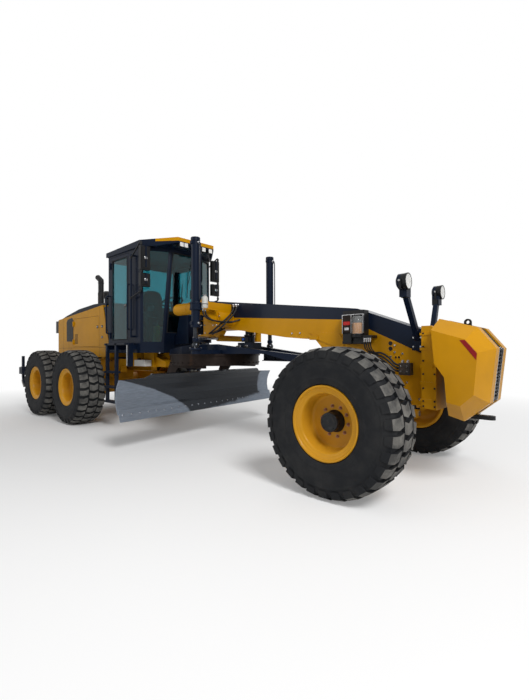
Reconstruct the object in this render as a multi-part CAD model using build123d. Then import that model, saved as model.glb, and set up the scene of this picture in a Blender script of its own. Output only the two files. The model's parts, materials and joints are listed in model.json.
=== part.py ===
from build123d import *
import os
from math import atan2, cos, degrees, radians, sin, sqrt

os.makedirs("parts", exist_ok=True)

# Motor grader, 6x4, with the cab on the rear frame and the articulation hinge in front of it.
# Millimetres. X runs forward, Y to the machine's left, Z up, and the tyres stand on Z = 0.
# While modelling, X is measured from the tandem pivot; save() then moves each piece so that
# the origin lies on the ground below the middle of the machine's length.

# ---- driving dimensions ---------------------------------------------------------------
WHEELBASE = 6920            # tandem pivot to front axle
TANDEM_SPACING = 1700       # between the two rear wheels of a side
TRACK = 2310                # between the wheel centres of an axle
NOSE_OVERHANG = 1223        # front axle to the front of the nose housing
TAIL_OVERHANG = 2960        # tandem pivot to the back of the ripper beam
FIT = 0.3                   # running clearance of pins, shafts and seats
GAP = 12                    # clearance between panels that open

# tyres and rims
TYRE_R = 740
TYRE_HALF_W = 262
SEAT_R = 346
SEAT_HALF_W = 213
FLANGE_R = 371
FLANGE_T = 22
BARREL_T = 20
DISC_OUT = 22               # rim disc's outer face, outboard of the wheel's centre plane
DISC_T = 24
HUB_R = 165
HUB_IN = -118               # hub's inner face
HUB_CAP_R = 92
HUB_CAP_OUT = 140
SPINDLE_R = 88
SPINDLE_OUT = -12           # spindle's outer end
TREAD_BASE_R = 708          # floor of the tread's grooves
LUGS = 30                   # per side of a tyre
LUG_HALF = 70               # half the length of a lug along the tread

# tandem cases
CASE_Y = (640, 862)
CASE_R = 235
PIVOT_R = 205

# rear chassis
RAIL_Y = (300, 430)
RAIL_Z = (1020, 1290)
RAIL_X = (-1700, 2480)
RAIL_STEP_X = 1250          # ahead of it the rails' underside clears the turned blade
BELLY_Z = 1150              # underside of the cross members, above the blade's top
BUMPER_X = (-1960, -1635)
BUMPER_Z = (880, 1450)
BUMPER_HALF_Y = 560

# articulation hinge
HINGE_X = 3450
HINGE_R = 130
HINGE_PIN_R = 60
HINGE_LOW_Z = 1640          # middle of the lower lug
HINGE_HIGH_Z = 2040         # middle of the upper lug
LUG_T = 90
CHEEK_T = 50
POST_FRONT_X = 3250
NECK_HALF_Y = 200
NECK_TOP_Z = 1735

# cab
CAB_HALF_Y = 800
CAB_BACK = 1450
CAB_FLOOR_Z = (1420, 1600)
CAB_ROOF_Z = 3330
B_POST_X = (2235, 2640)
A_BASE_Y = 438
A_TOP_Y = 322
CORNER_SLOPE = 0.544        # run in X per unit of Y along the angled front side
WALL = 60
WALL_FOOT = 15              # how far the cab's walls reach down into its floor
VISOR_X = 3235
VISOR_HALF_Y = 408
ROOF_TOP_Z = 3470
ROOF_LAMP_Y = (-330, -235, 170, 330)
GLASS_T = 8
DOOR_MARGINS = (60, 70, 60, 70)   # rear, bottom, front and top of the door's frame
HINGE_KNUCKLE_R = 15
MIRROR_PLACE = (2815, 811)
LADDER_X = (1700, 2110)
HANGER_LOW_Z = 1175         # above the turned blade

# hood
HOOD_HALF_Y = 600
HOOD_X = (-1630, 1040)
HOOD_LOW_Z = 1330
HOOD_ROOF = [(-1540, 2300), (-1305, 2350), (-595, 2465), (203, 2520), (780, 2505)]   # (x, z) along its top
LOUVRES = 7
LOUVRE_X = -1290
LOUVRE_STEP = 85
SKIN = 30
ENGINE_DOOR_X = (-700, 600)
ENGINE_DOOR_Z = (1560, 2230)

# front frame
BEAM_HALF_Y = 170
NOSE_PLATE_X = (WHEELBASE + 540, WHEELBASE + 690)
LIFT_EYE = (WHEELBASE + 910, 1738)
LIFT_EYE_R = 18
TOW_X = WHEELBASE + 1120
TOW_Z = (725, 765)
TOW_R = 22
GRILLE_SLOTS = 13

# front axle
LEAN_Y = 770                # lean pivots
LEAN_Z = 600
LEAN_BAR_Z = 920
LEAN_BAR_DX = 155           # lean bar, ahead of the axle's centre
KINGPIN_Y = 905
KINGPIN_R = 40
LEAN_PIN_R = 26
STEER_ARM = 200             # steering arm's ball, behind the kingpin
TIE_ROD_Z = 665
TIE_BALL_R = 22
TIE_STUD_R = 10
ARM_HALF_W = 20
YOKE_HALF_T = 35
AXLE_PIN_Z = 800
HANGER_DX = (240, 290)

# drawbar, circle and blade
BALL_X = WHEELBASE - 670
BALL_Z = 1250
BALL_R = 80
CIRCLE_X = 3750
CIRCLE_R = 765
CIRCLE_WALL = 75
CIRCLE_HEIGHT = 190
CIRCLE_TEETH = 60
TOOTH_HEIGHT = 24
DRAWBAR_LOW_Z = 1400
DRAWBAR_T = 150
DRAWBAR_BACK = CIRCLE_X - 560
CIRCLE_Z = (DRAWBAR_LOW_Z - FIT - CIRCLE_HEIGHT, DRAWBAR_LOW_Z - FIT)
BLADE_YAW = 6.2             # the circle's turn as parked, counter-clockwise from above
BLADE_LENGTH = 3660
BLADE_LOW_Z = 450
BLADE_FACE_X = CIRCLE_X - 190         # deepest line of the mouldboard's hollow
BLADE_ARC_R = 450
BLADE_ARC_Z = 770
BLADE_ARC = (-28, 46)       # degrees, from the lower to the upper edge
TIP_X = CIRCLE_X - 430                # tilt hinge of the blade, behind the mouldboard
TIP_Z = 700
ARM_Y = (610, 670)

# lift cylinders
LIFT_X = CIRCLE_X + 536
LIFT_Y = 847
LIFT_TOP_Z = 3156
LIFT_TRUNNION_Z = 2120
LIFT_BALL_Z = 1530
LIFT_BALL_R = 60
LIFT_PAD_Z = 1463           # top of the drawbar's pads under the lift cylinders
BARREL_R = 66
ROD_R = 36
BARREL_WALL = 14
PISTON_T = 35
LIFT_MOUTH_Z = 1800         # lower end of the barrels
LIFT_HEAD = 40              # their solid upper end
LIFT_PISTON = 60            # piston from that end

# side shift cylinder of the drawbar
SHIFT_X = CIRCLE_X + 280
SHIFT_Z = 1660
SHIFT_BARREL_Y = 720
SHIFT_ROD_Y = -640
SHIFT_BALL_R = 52
SHIFT_BARREL_R = 50
SHIFT_BARREL_REACH = 905    # barrel's mouth from its pivot
SHIFT_PISTON = 393          # piston from the barrel's head
SHIFT_CYL_ROD_R = 26
SHIFT_STUD_GAP = 15         # the ball drifts from its stud by up to this much

# ripper
RIPPER_PIVOT_X = -2040
RIPPER_PIVOT_Z = 1010
RIPPER_ARM_Y = (380, 450)
RIPPER_CYL_Y = 415
RIPPER_BARREL = (-2030, 1400)
RIPPER_EYE = (-2600, 1150)
RIPPER_BEAM_X = -2700
RIPPER_BEAM_Z = 960
RIPPER_HALF_Y = 1150
RIPPER_SHANK_Y = (-1020, -510, 0, 510, 1020)
RIPPER_PIN_R = 35
RIPPER_BARREL_R = 52
RIPPER_BARREL_REACH = 440
RIPPER_PISTON = 75
RIPPER_ROD_R = 27
SMALL_TAIL = 40             # small cylinders: barrel behind its pivot
SMALL_HEAD = 72             # and its solid end
CYL_PIN_R = 22
EYE_PLAY = 16               # the ripper rods' eyes drift from their pins by less than this

WHEEL_Z = TYRE_R
WHEEL_Y = TRACK / 2
NOSE_X = WHEELBASE + NOSE_OVERHANG
ORIGIN_X = (NOSE_X - TAIL_OVERHANG) / 2


# ---- helpers --------------------------------------------------------------------------
def block(x, y, z):
    """Box between three (low, high) pairs."""
    size = (x[1] - x[0], y[1] - y[0], z[1] - z[0])
    return Solid.make_box(*size, Plane((x[0], y[0], z[0])))


def side_plate(points, y):
    """Outline of (x, z) points, between the two Y values."""
    wire = Wire.make_polygon([(x, y[0], z) for x, z in points])
    return Solid.extrude(Face(wire), Vector(0, y[1] - y[0], 0))


def plan_plate(points, z):
    """Outline of (x, y) points, between the two Z values."""
    wire = Wire.make_polygon([(x, y, z[0]) for x, y in points])
    return Solid.extrude(Face(wire), Vector(0, 0, z[1] - z[0]))


def front_plate(points, x):
    """Outline of (y, z) points, between the two X values."""
    wire = Wire.make_polygon([(x[0], y, z) for y, z in points])
    return Solid.extrude(Face(wire), Vector(x[1] - x[0], 0, 0))


def bar(start, end, radius):
    """Round bar from one point to another."""
    start, end = Vector(*start), Vector(*end)
    return Solid.make_cylinder(radius, (end - start).length, Plane(start, z_dir=end - start))


def square_bar(start, end, half):
    """Square bar from one point to another."""
    start, end = Vector(*start), Vector(*end)
    plane = Plane(start, z_dir=end - start)
    return extrude(plane * Rectangle(2 * half, 2 * half), (end - start).length)


def ball(radius, x, y, z):
    half = Wire([Edge.make_three_point_arc((x - radius, y, z), (x, y, z + radius), (x + radius, y, z)),
                 Edge.make_line((x + radius, y, z), (x - radius, y, z))])
    return Solid.revolve(Face(half), 360, Axis((x, y, z), (1, 0, 0)))


def join(*pieces):
    solid = Part() + pieces[0]
    for piece in pieces[1:]:
        solid += piece
    return solid


def flip(piece):
    """The same piece on the machine's other side."""
    return piece.mirror(Plane.XZ)


def both(piece):
    return [piece, flip(piece)]


def turn(piece, degrees_about_z, x, y=0):
    return piece.rotate(Axis((x, y, 0), (0, 0, 1)), degrees_about_z)


def save(node, *pieces):
    to_origin = Location((-ORIGIN_X, 0, 0))
    solids = [solid.moved(to_origin) for piece in pieces for solid in piece.solids()]
    export_step(solids[0] if len(solids) == 1 else Compound(children=solids), f"parts/{node}.step")


# ---- wheels ---------------------------------------------------------------------------
def spun(points, x, y, outward):
    """Ring about a wheel's axle from (offset outboard, radius) points."""
    wire = Wire.make_polygon([(x, y + outward * t, WHEEL_Z + r) for t, r in points])
    return Solid.revolve(Face(wire), 360, Axis((x, y, WHEEL_Z), (0, 1, 0)))


def tyre():
    """Tyre with interlocking lugs, centred on the origin with its axle along Y."""
    # half section of the carcass: (half width, radius) from the bead to the floor of the tread
    half = [(SEAT_HALF_W, SEAT_R + FIT), (SEAT_HALF_W, FLANGE_R + 5), (240, FLANGE_R + 22), (TYRE_HALF_W, 500),
            (TYRE_HALF_W, 560), (240, 655), (200, TREAD_BASE_R)]
    wire = Wire.make_polygon([(0, t, r) for t, r in half + [(-t, r) for t, r in reversed(half)]])
    axle = Axis((0, 0, 0), (0, 1, 0))
    carcass = Solid.revolve(Face(wire), 360, axle)
    top = sqrt(TYRE_R ** 2 - LUG_HALF ** 2)
    # lug's outline, (across, share of its half length): a square shoulder and an inner end that slants back
    plan = [(-12, -0.24), (110, -1), (TYRE_HALF_W, -1), (TYRE_HALF_W, 0.02), (-12, 1)]
    section = [(-12, 630), (-12, top), (185, top), (TYRE_HALF_W - 5, 640), (TYRE_HALF_W - 5, 630)]
    lugs = []
    for side in (-1, 1):
        lug = plan_plate([(along * LUG_HALF, side * across) for across, along in plan], (600, TYRE_R + 20))
        lug &= front_plate([(side * across, r) for across, r in section], (-LUG_HALF, LUG_HALF))
        for i in range(LUGS):
            # the corner of one lug stands exactly below the axle
            angle = (i + (side + 1) / 4) * 360 / LUGS - degrees(atan2(LUG_HALF, top))
            lugs.append(lug.rotate(axle, angle))
    return join(carcass, *lugs)


def rim(x, y, outward):
    inner_r = SEAT_R - BARREL_T
    lip = SEAT_HALF_W + FIT
    end = lip + FLANGE_T
    disc_in = DISC_OUT - DISC_T
    section = [(-end, inner_r), (-end, FLANGE_R), (-lip, FLANGE_R), (-lip, SEAT_R), (lip, SEAT_R),
               (lip, FLANGE_R), (end, FLANGE_R), (end, inner_r + 14), (end - 40, inner_r), (DISC_OUT + 70, inner_r),
               (DISC_OUT + 52, inner_r - 26), (DISC_OUT, HUB_R + 20), (DISC_OUT, HUB_CAP_R + 8),
               (DISC_OUT + 40, HUB_CAP_R), (HUB_CAP_OUT - 8, HUB_CAP_R), (HUB_CAP_OUT, HUB_CAP_R - 8),
               (HUB_CAP_OUT, 0), (SPINDLE_OUT + 2, 0), (SPINDLE_OUT + 2, SPINDLE_R + FIT),
               (HUB_IN, SPINDLE_R + FIT), (HUB_IN, HUB_R - 20), (disc_in, HUB_R - 20), (disc_in, inner_r)]
    return spun(section, x, y, outward)


WHEELS = {  # name: (x, side)
    "rear_right_front": (TANDEM_SPACING / 2, -1), "rear_right_back": (-TANDEM_SPACING / 2, -1),
    "rear_left_front": (TANDEM_SPACING / 2, 1), "rear_left_back": (-TANDEM_SPACING / 2, 1),
    "front_right": (WHEELBASE, -1), "front_left": (WHEELBASE, 1)}


def make_wheels():
    model = tyre()
    for name, (x, side) in WHEELS.items():
        save(f"tyre_{name}", model.moved(Location((x, side * WHEEL_Y, WHEEL_Z))))
        save(f"rim_{name}", rim(x, side * WHEEL_Y, side))


# ---- rear frame -----------------------------------------------------------------------
def make_tandem_cases():
    half = TANDEM_SPACING / 2
    case = join(block((-half, half), CASE_Y, (WHEEL_Z - CASE_R, WHEEL_Z + CASE_R)),
                *[bar((x, CASE_Y[0], WHEEL_Z), (x, CASE_Y[1], WHEEL_Z), CASE_R) for x in (-half, half)],
                *[bar((x, CASE_Y[1], WHEEL_Z), (x, WHEEL_Y + SPINDLE_OUT, WHEEL_Z), SPINDLE_R)
                  for x in (-half, half)],
                bar((0, RAIL_Y[1], WHEEL_Z), (0, CASE_Y[0], WHEEL_Z), PIVOT_R))
    save("tandem_cases", *both(case))


def make_rear_chassis():
    y0, y1 = RAIL_Y
    rail = block((RAIL_X[0], RAIL_STEP_X), RAIL_Y, RAIL_Z) + block(RAIL_X, RAIL_Y, (BELLY_Z, RAIL_Z[1]))
    axle = join(bar((0, -y1, WHEEL_Z), (0, y1, WHEEL_Z), 250),
                block((-230, 230), (-y1, y1), (WHEEL_Z, RAIL_Z[0] + 20)))
    bumper = block(BUMPER_X, (-BUMPER_HALF_Y, BUMPER_HALF_Y), BUMPER_Z)
    cross = [block((x, x + 140), (-y1, y1), (BELLY_Z, RAIL_Z[1] - 10)) for x in (-1300, 1300, 2340)]
    # neck that climbs in front of the cab to the hinge's two lugs
    low, high = HINGE_LOW_Z - LUG_T / 2, HINGE_HIGH_Z + LUG_T / 2
    neck = side_plate([(2340, BELLY_Z), (2600, BELLY_Z), (2850, low - 15), (POST_FRONT_X, low - 15),
                       (POST_FRONT_X, high + 15), (2980, high + 15), (2890, NECK_TOP_Z), (2670, NECK_TOP_Z),
                       (2670, 1405), (2340, 1405)], (-NECK_HALF_Y, NECK_HALF_Y))
    lugs = []
    for z in (HINGE_LOW_Z, HINGE_HIGH_Z):
        span = (z - LUG_T / 2, z + LUG_T / 2)
        lugs.append(block((POST_FRONT_X - 20, HINGE_X), (-HINGE_R, HINGE_R), span))
        lugs.append(bar((HINGE_X, 0, span[0]), (HINGE_X, 0, span[1]), HINGE_R))
    feet = [block((x, x + 160), sorted((side * 330, side * 420)), (RAIL_Z[1] - 10, CAB_FLOOR_Z[0]))
            for side in (-1, 1) for x in (1700, 2300)]
    ears = []
    for side in (-1, 1):
        for y in ((RIPPER_ARM_Y[0] - 60, RIPPER_ARM_Y[0] - FIT), (RIPPER_ARM_Y[1] + FIT, RIPPER_ARM_Y[1] + 60)):
            ears.append(block((RIPPER_PIVOT_X, BUMPER_X[0] + 5), sorted((side * y[0], side * y[1])),
                              (RIPPER_PIVOT_Z - 70, RIPPER_PIVOT_Z + 70)))
            ears.append(bar((RIPPER_PIVOT_X, side * y[0], RIPPER_PIVOT_Z),
                            (RIPPER_PIVOT_X, side * y[1], RIPPER_PIVOT_Z), 70))
        for y in ((RIPPER_CYL_Y - 95, RIPPER_CYL_Y - 65), (RIPPER_CYL_Y + 65, RIPPER_CYL_Y + 95)):
            ears.append(block((RIPPER_BARREL[0] - 45, BUMPER_X[0] + 5), sorted((side * y[0], side * y[1])),
                              (RIPPER_BARREL[1] - 45, RIPPER_BARREL[1] + 45)))
    gusset = side_plate([(2050, 1290), (2050, 1420), (2260, 1420), (2780, 1250), (2780, 1155), (2480, 1155)],
                        (NECK_HALF_Y - 5, RAIL_Y[1] - 60))
    # frame over the bumper that carries the ripper cylinders' hoses
    tower = join(square_bar((BUMPER_X[0] + 40, 300, BUMPER_Z[1] - 30), (-2250, 300, 1690), 28),
                 square_bar((BUMPER_X[0] + 20, 300, 1150), (-2250, 300, 1690), 28),
                 bar((-2250, 0, 1690), (-2250, 335, 1690), 34))
    frame = join(*both(rail), axle, bumper, *cross, neck, *lugs, *feet, *ears, *both(gusset), *both(tower))
    frame -= bar((HINGE_X, 0, HINGE_LOW_Z - 200), (HINGE_X, 0, HINGE_HIGH_Z + 200), HINGE_PIN_R + FIT)
    x, z = RIPPER_PIVOT_X, RIPPER_PIVOT_Z
    frame -= bar((x, -700, z), (x, 700, z), RIPPER_PIN_R + FIT)
    x, z = RIPPER_BARREL
    frame -= bar((x, -700, z), (x, 700, z), CYL_PIN_R + FIT)
    save("rear_chassis", frame)


def make_engine():
    half = RAIL_Y[0] - FIT
    save("engine_block", block((-900, 420), (-half, half), (1150, 2120)))


def hood_outline(drop=0):
    return [(HOOD_X[0], HOOD_LOW_Z), (HOOD_X[0], 2255 - drop), (785 - drop / 4, 2449 - drop),
            (HOOD_X[1], 1650), (HOOD_X[1] + 60, HOOD_LOW_Z)]


def hinge(x, z, face_y, side, toward_door):
    """Fixed and moving halves of a hinge with an upright pin, on a wall's outer face.

    toward_door is +1 where the door lies ahead of the pin."""
    y = side * (face_y + HINGE_KNUCKLE_R)
    fixed, moving = [], []
    for low, high, half, way in ((z - 60, z - 20, fixed, -1), (z + 20, z + 60, fixed, -1),
                                 (z - 20 + FIT, z + 20 - FIT, moving, 1)):
        half.append(bar((x, y, low), (x, y, high), HINGE_KNUCKLE_R))
        half.append(block(sorted((x, x + way * toward_door * 45)), sorted((side * face_y, side * (face_y + 9))),
                          (low, high)))
    pin = bar((x, y, z - 60), (x, y, z + 60), 7)
    moving = join(*moving) - bar((x, y, z - 80), (x, y, z + 80), 7 + FIT)
    return join(*fixed, pin), moving


def make_hood():
    outer = side_plate(hood_outline(), (-HOOD_HALF_Y, HOOD_HALF_Y))
    inner = side_plate([(HOOD_X[0] + SKIN, HOOD_LOW_Z - 50), (HOOD_X[0] + SKIN, 2255 - SKIN), (740, 2449 - SKIN - 6),
                        (HOOD_X[1] - SKIN - 15, 1650), (HOOD_X[1] + 20, HOOD_LOW_Z - 50)],
                       (-HOOD_HALF_Y + SKIN, HOOD_HALF_Y - SKIN))
    hood = outer - inner
    (x0, x1), (z0, z1) = ENGINE_DOOR_X, ENGINE_DOOR_Z
    for side in (-1, 1):
        hood -= block((x0, x1), sorted((side * (HOOD_HALF_Y - SKIN - 5), side * (HOOD_HALF_Y + 5))), (z0, z1))
        door = block((x0 + GAP / 2, x1 - GAP / 2), sorted((side * (HOOD_HALF_Y - SKIN), side * HOOD_HALF_Y)),
                     (z0 + GAP / 2, z1 - GAP / 2))
        for z in (z0 + 120, z1 - 120):
            fixed, moving = hinge(x0, z, HOOD_HALF_Y, side, 1)
            hood += fixed
            door += moving
        save("engine_door_right" if side < 0 else "engine_door_left", door)
        for x in (-1400, 700):      # feet that carry the hood on the rails
            hood += block((x, x + 120), sorted((side * RAIL_Y[0], side * (HOOD_HALF_Y - SKIN / 2))),
                          (RAIL_Z[1], HOOD_LOW_Z + 40))
        # recess of the side grille
        grille = [(-1290, 1450), (-1010, 1480), (-1010, 2010), (-1075, 2100), (-1250, 2100)]
        hood -= side_plate(grille, sorted((side * (HOOD_HALF_Y - 12), side * (HOOD_HALF_Y + 5))))
    save("hood", hood)
    roof = hood_roof_space()
    for i in range(LOUVRES):
        x = LOUVRE_X + i * LOUVRE_STEP
        z = hood_roof_z(x)
        roof -= side_plate([(x, z + 10), (x, z - 26), (x + LOUVRE_STEP * 0.7, z + 10)], (-400, 400))
    hood_body = side_plate(hood_outline(-FIT), (-HOOD_HALF_Y, HOOD_HALF_Y))
    save("hood_roof", roof - hood_body)


def make_exhaust():
    z0 = 2500
    stack = join(bar((-30, -250, z0), (-30, -250, 3120), 62), bar((-30, -250, 3120), (-190, -250, 3215), 62),
                 ball(62, -30, -250, 3120))
    cleaner = join(bar((-650, 200, 2440), (-650, 200, 2800), 60), bar((-650, 200, 2800), (-650, 200, 2920), 130),
                   Solid.make_cone(130, 60, 60, Plane((-650, 200, 2920))))
    save("exhaust_and_cleaner", stack - hood_roof_space(), cleaner - hood_roof_space())


def hood_roof_z(x):
    """Top of the hood's roof cover, by linear steps between its corners."""
    for (x0, z0), (x1, z1) in zip(HOOD_ROOF, HOOD_ROOF[1:]):
        if x0 <= x <= x1:
            return z0 + (z1 - z0) * (x - x0) / (x1 - x0)


def hood_roof_space():
    return side_plate([(HOOD_ROOF[0][0] - 20, 2000)] + HOOD_ROOF + [(HOOD_ROOF[-1][0] + 5, 2000)], (-520, 520))


# ---- cab ------------------------------------------------------------------------------
def corner_x(y):
    """X of the angled front side at a distance y from the centre plane."""
    return B_POST_X[1] + CORNER_SLOPE * (CAB_HALF_Y - y)


def quad_slab(quad, inward, depth0, depth1):
    """Slab behind a flat quad of four corners, between two depths along inward."""
    shift = Vector(*inward).normalized()
    corners = [Vector(*c) + shift * depth0 for c in quad]
    return Solid.extrude(Face(Wire.make_polygon(corners)), shift * (depth1 - depth0))


def inset(quad, left, bottom, right, top):
    """Quad (bottom left, bottom right, top right, top left) drawn in by four margins."""
    a, b, c, d = [Vector(*p) for p in quad]
    across_low, across_high = (b - a).normalized(), (c - d).normalized()
    up_left, up_right = (d - a).normalized(), (c - b).normalized()
    return [a + across_low * left + up_left * bottom, b - across_low * right + up_right * bottom,
            c - across_high * right - up_right * top, d + across_high * left - up_left * top]


def cab_walls():
    """Each wall as name: (quad, inward direction, margins of its window)."""
    z0, z1 = CAB_FLOOR_Z[1], CAB_ROOF_Z
    ab, at = (corner_x(A_BASE_Y), A_BASE_Y), (corner_x(A_TOP_Y), A_TOP_Y)
    bx, by = B_POST_X[1], CAB_HALF_Y
    lean = (at[0] - ab[0]) / (z1 - z0)
    walls = {"windshield": ([(ab[0], -ab[1], z0), (ab[0], ab[1], z0), (at[0], at[1], z1), (at[0], -at[1], z1)],
                            (-1, 0, lean), (45, 190, 45, 60))}
    for side, name in ((-1, "corner_right"), (1, "corner_left")):
        quad = [(bx, side * by, z0), (ab[0], side * ab[1], z0), (at[0], side * at[1], z1), (bx, side * by, z1)]
        walls[name] = (quad, (-1, -side * CORNER_SLOPE, 0), (50, 20, 40, 60))
    walls["back"] = ([(CAB_BACK, by, z0), (CAB_BACK, -by, z0), (CAB_BACK, -by, z1), (CAB_BACK, by, z1)],
                     (1, 0, 0), (90, 820, 90, 120))
    return walls


def make_cab():
    z0, z1 = CAB_FLOOR_Z[1], CAB_ROOF_Z
    plan = [(CAB_BACK, -CAB_HALF_Y), (B_POST_X[1], -CAB_HALF_Y), (corner_x(A_BASE_Y), -A_BASE_Y),
            (corner_x(A_BASE_Y), A_BASE_Y), (B_POST_X[1], CAB_HALF_Y), (CAB_BACK, CAB_HALF_Y)]
    pieces = [plan_plate(plan, CAB_FLOOR_Z)]
    roof_side = side_plate([(CAB_BACK - 60, z1 - 5), (2900, z1 - 5), (VISOR_X, z1 + 40), (VISOR_X, ROOF_TOP_Z),
                            (2650, 3440), (CAB_BACK - 60, 3410)], (-900, 900))
    roof_plan = plan_plate([(CAB_BACK - 60, -820), (2660, -830), (VISOR_X, -VISOR_HALF_Y),
                            (VISOR_X, VISOR_HALF_Y), (2660, 830), (CAB_BACK - 60, 820)], (z1 - 50, 3600))
    pieces.append(roof_side & roof_plan)
    panes = []
    for quad, inward, margins in cab_walls().values():
        wall = quad_slab(inset(quad, 0, -WALL_FOOT, 0, 0), inward, 0, WALL)
        hole = quad_slab(inset(quad, *margins), inward, -10, WALL + 10)
        pieces.append(wall - hole)
        glass = [m + FIT for m in margins]
        panes.append(quad_slab(inset(quad, *glass), inward, 15, 15 + GLASS_T))
    for side in (-1, 1):
        y = sorted((side * CAB_HALF_Y, side * (CAB_HALF_Y - WALL)))
        pieces.append(block((CAB_BACK, CAB_BACK + 90), y, (z0, z1)))
        pieces.append(block(B_POST_X, y, (z0, z1)))
        pieces.append(block((CAB_BACK, B_POST_X[1]), y, (z1 - 40, z1)))
    # closed housing between the hood's slanted front and the cab's back
    pieces.append(side_plate([(HOOD_X[1] + 72, CAB_FLOOR_Z[0]), (HOOD_X[1] + GAP, 1650), (815, 2400),
                              (CAB_BACK + WALL / 2, 2400), (CAB_BACK + WALL / 2, CAB_FLOOR_Z[0])], (-590, 590)))
    for y in ROOF_LAMP_Y:
        pieces.append(block((VISOR_X - 80, VISOR_X - 12), (y - 42, y + 42), (z1 - 12, z1 + 60)))
    shell = join(*pieces)
    # tunnel in the floor's front, over the chassis neck
    y, top = NECK_HALF_Y + 12, NECK_TOP_Z + 10
    shell += block((2640, corner_x(A_BASE_Y) - 5), (-y - 20, y + 20), (z0, top + 20))
    shell -= block((2660, 2900), (-y, y), (CAB_FLOOR_Z[0] - 10, top))
    for side, name in ((-1, "right"), (1, "left")):
        door = cab_door(side)
        for z in (z0 + 160, z1 - 200):
            fixed, moving = hinge(CAB_BACK + 90, z, CAB_HALF_Y, side, 1)
            shell += fixed
            door += moving
        save(f"cab_door_{name}", door)
    save("cab_frame", shell)
    save("cab_glass", *panes)


def door_quad(side):
    z0, z1 = CAB_FLOOR_Z[1] + GAP / 2, CAB_ROOF_Z - 40 - GAP / 2
    x0, x1 = CAB_BACK + 90 + GAP / 2, B_POST_X[0] - GAP / 2
    y = side * CAB_HALF_Y
    return [(x0, y, z0), (x1, y, z0), (x1, y, z1), (x0, y, z1)]


def cab_door(side):
    inward = (0, -side, 0)
    window = quad_slab(inset(door_quad(side), *DOOR_MARGINS), inward, -10, 60)
    return quad_slab(door_quad(side), inward, 0, 45) - window


def make_cab_door_glass():
    for side, name in ((-1, "right"), (1, "left")):
        pane = inset(door_quad(side), *[m + FIT for m in DOOR_MARGINS])
        save(f"cab_door_glass_{name}", quad_slab(pane, (0, -side, 0), 15, 15 + GLASS_T))


def make_cab_inside():
    z0 = CAB_FLOOR_Z[1]
    back_rest = [(1740, z0 + 430), (1860, z0 + 430), (1780, z0 + 1120), (1680, z0 + 1120)]
    seat = join(block((1800, 2080), (-160, 160), (z0, z0 + 330)),
                block((1760, 2280), (-250, 250), (z0 + 330, z0 + 470)),
                side_plate(back_rest, (-230, 230)))
    save("seat", seat)
    console = join(block((2480, 2620), (-90, 90), (z0, z0 + 520)),
                   bar((2550, 0, z0 + 480), (2470, 0, z0 + 800), 38),
                   *[block((2130, 2420), sorted((s * 300, s * 400)), (z0 + 500, z0 + 620)) for s in (-1, 1)],
                   *[block((2180, 2280), sorted((s * 300, s * 400)), (z0, z0 + 510)) for s in (-1, 1)])
    save("console", *console.solids())


def make_ladders():
    # ladder beside the cab, short of the blade's sweep, and a hanger ahead of it
    x0, x1 = LADDER_X
    side = join(*[block((x, x + 60), (935, 985), (480, 1600)) for x in (x0, x1 - 60)],
                *[block(LADDER_X, (900, 1010), (z, z + 40)) for z in (480, 760, 1040)],
                *[block((x, x + 60), (CAB_HALF_Y + FIT, 985), (1480, 1560)) for x in (x0, x1 - 60)])
    hanger = join(block((2420, 2500), (860, 940), (HANGER_LOW_Z, 1600)),
                  block((2420, 2500), (CAB_HALF_Y + FIT, 940), (1480, 1560)))
    save("ladders", *both(side), *both(hanger))


def make_mirrors():
    x, y = MIRROR_PLACE
    foot = y + 75
    arm = join(bar((2420, CAB_HALF_Y + FIT, 3200), (2420, 860, 3200), 18),
               bar((2420, 860, 3218), (2420, 860, 1700), 18),
               bar((2420, CAB_HALF_Y + FIT, 1720), (2420, 860, 1720), 18),
               bar((2420, 860, 3150), (x, foot, 3345), 14), bar((2420, 860, 2420), (x, foot, 2520), 14),
               bar((x, foot, 3359), (x, foot, 2506), 14),
               block((x - 55, x + 45), (y - 100, y + 100), (2875, 3310)),
               block((x - 55, x + 45), (y - 95, y + 95), (2585, 2830)))
    save("mirrors", *both(arm))


def make_rear_lamps():
    lamp = block((HOOD_X[0] - 160, HOOD_X[0] - FIT), (430, HOOD_HALF_Y), (1930, 2230))
    save("rear_lamps", *both(lamp))


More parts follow.
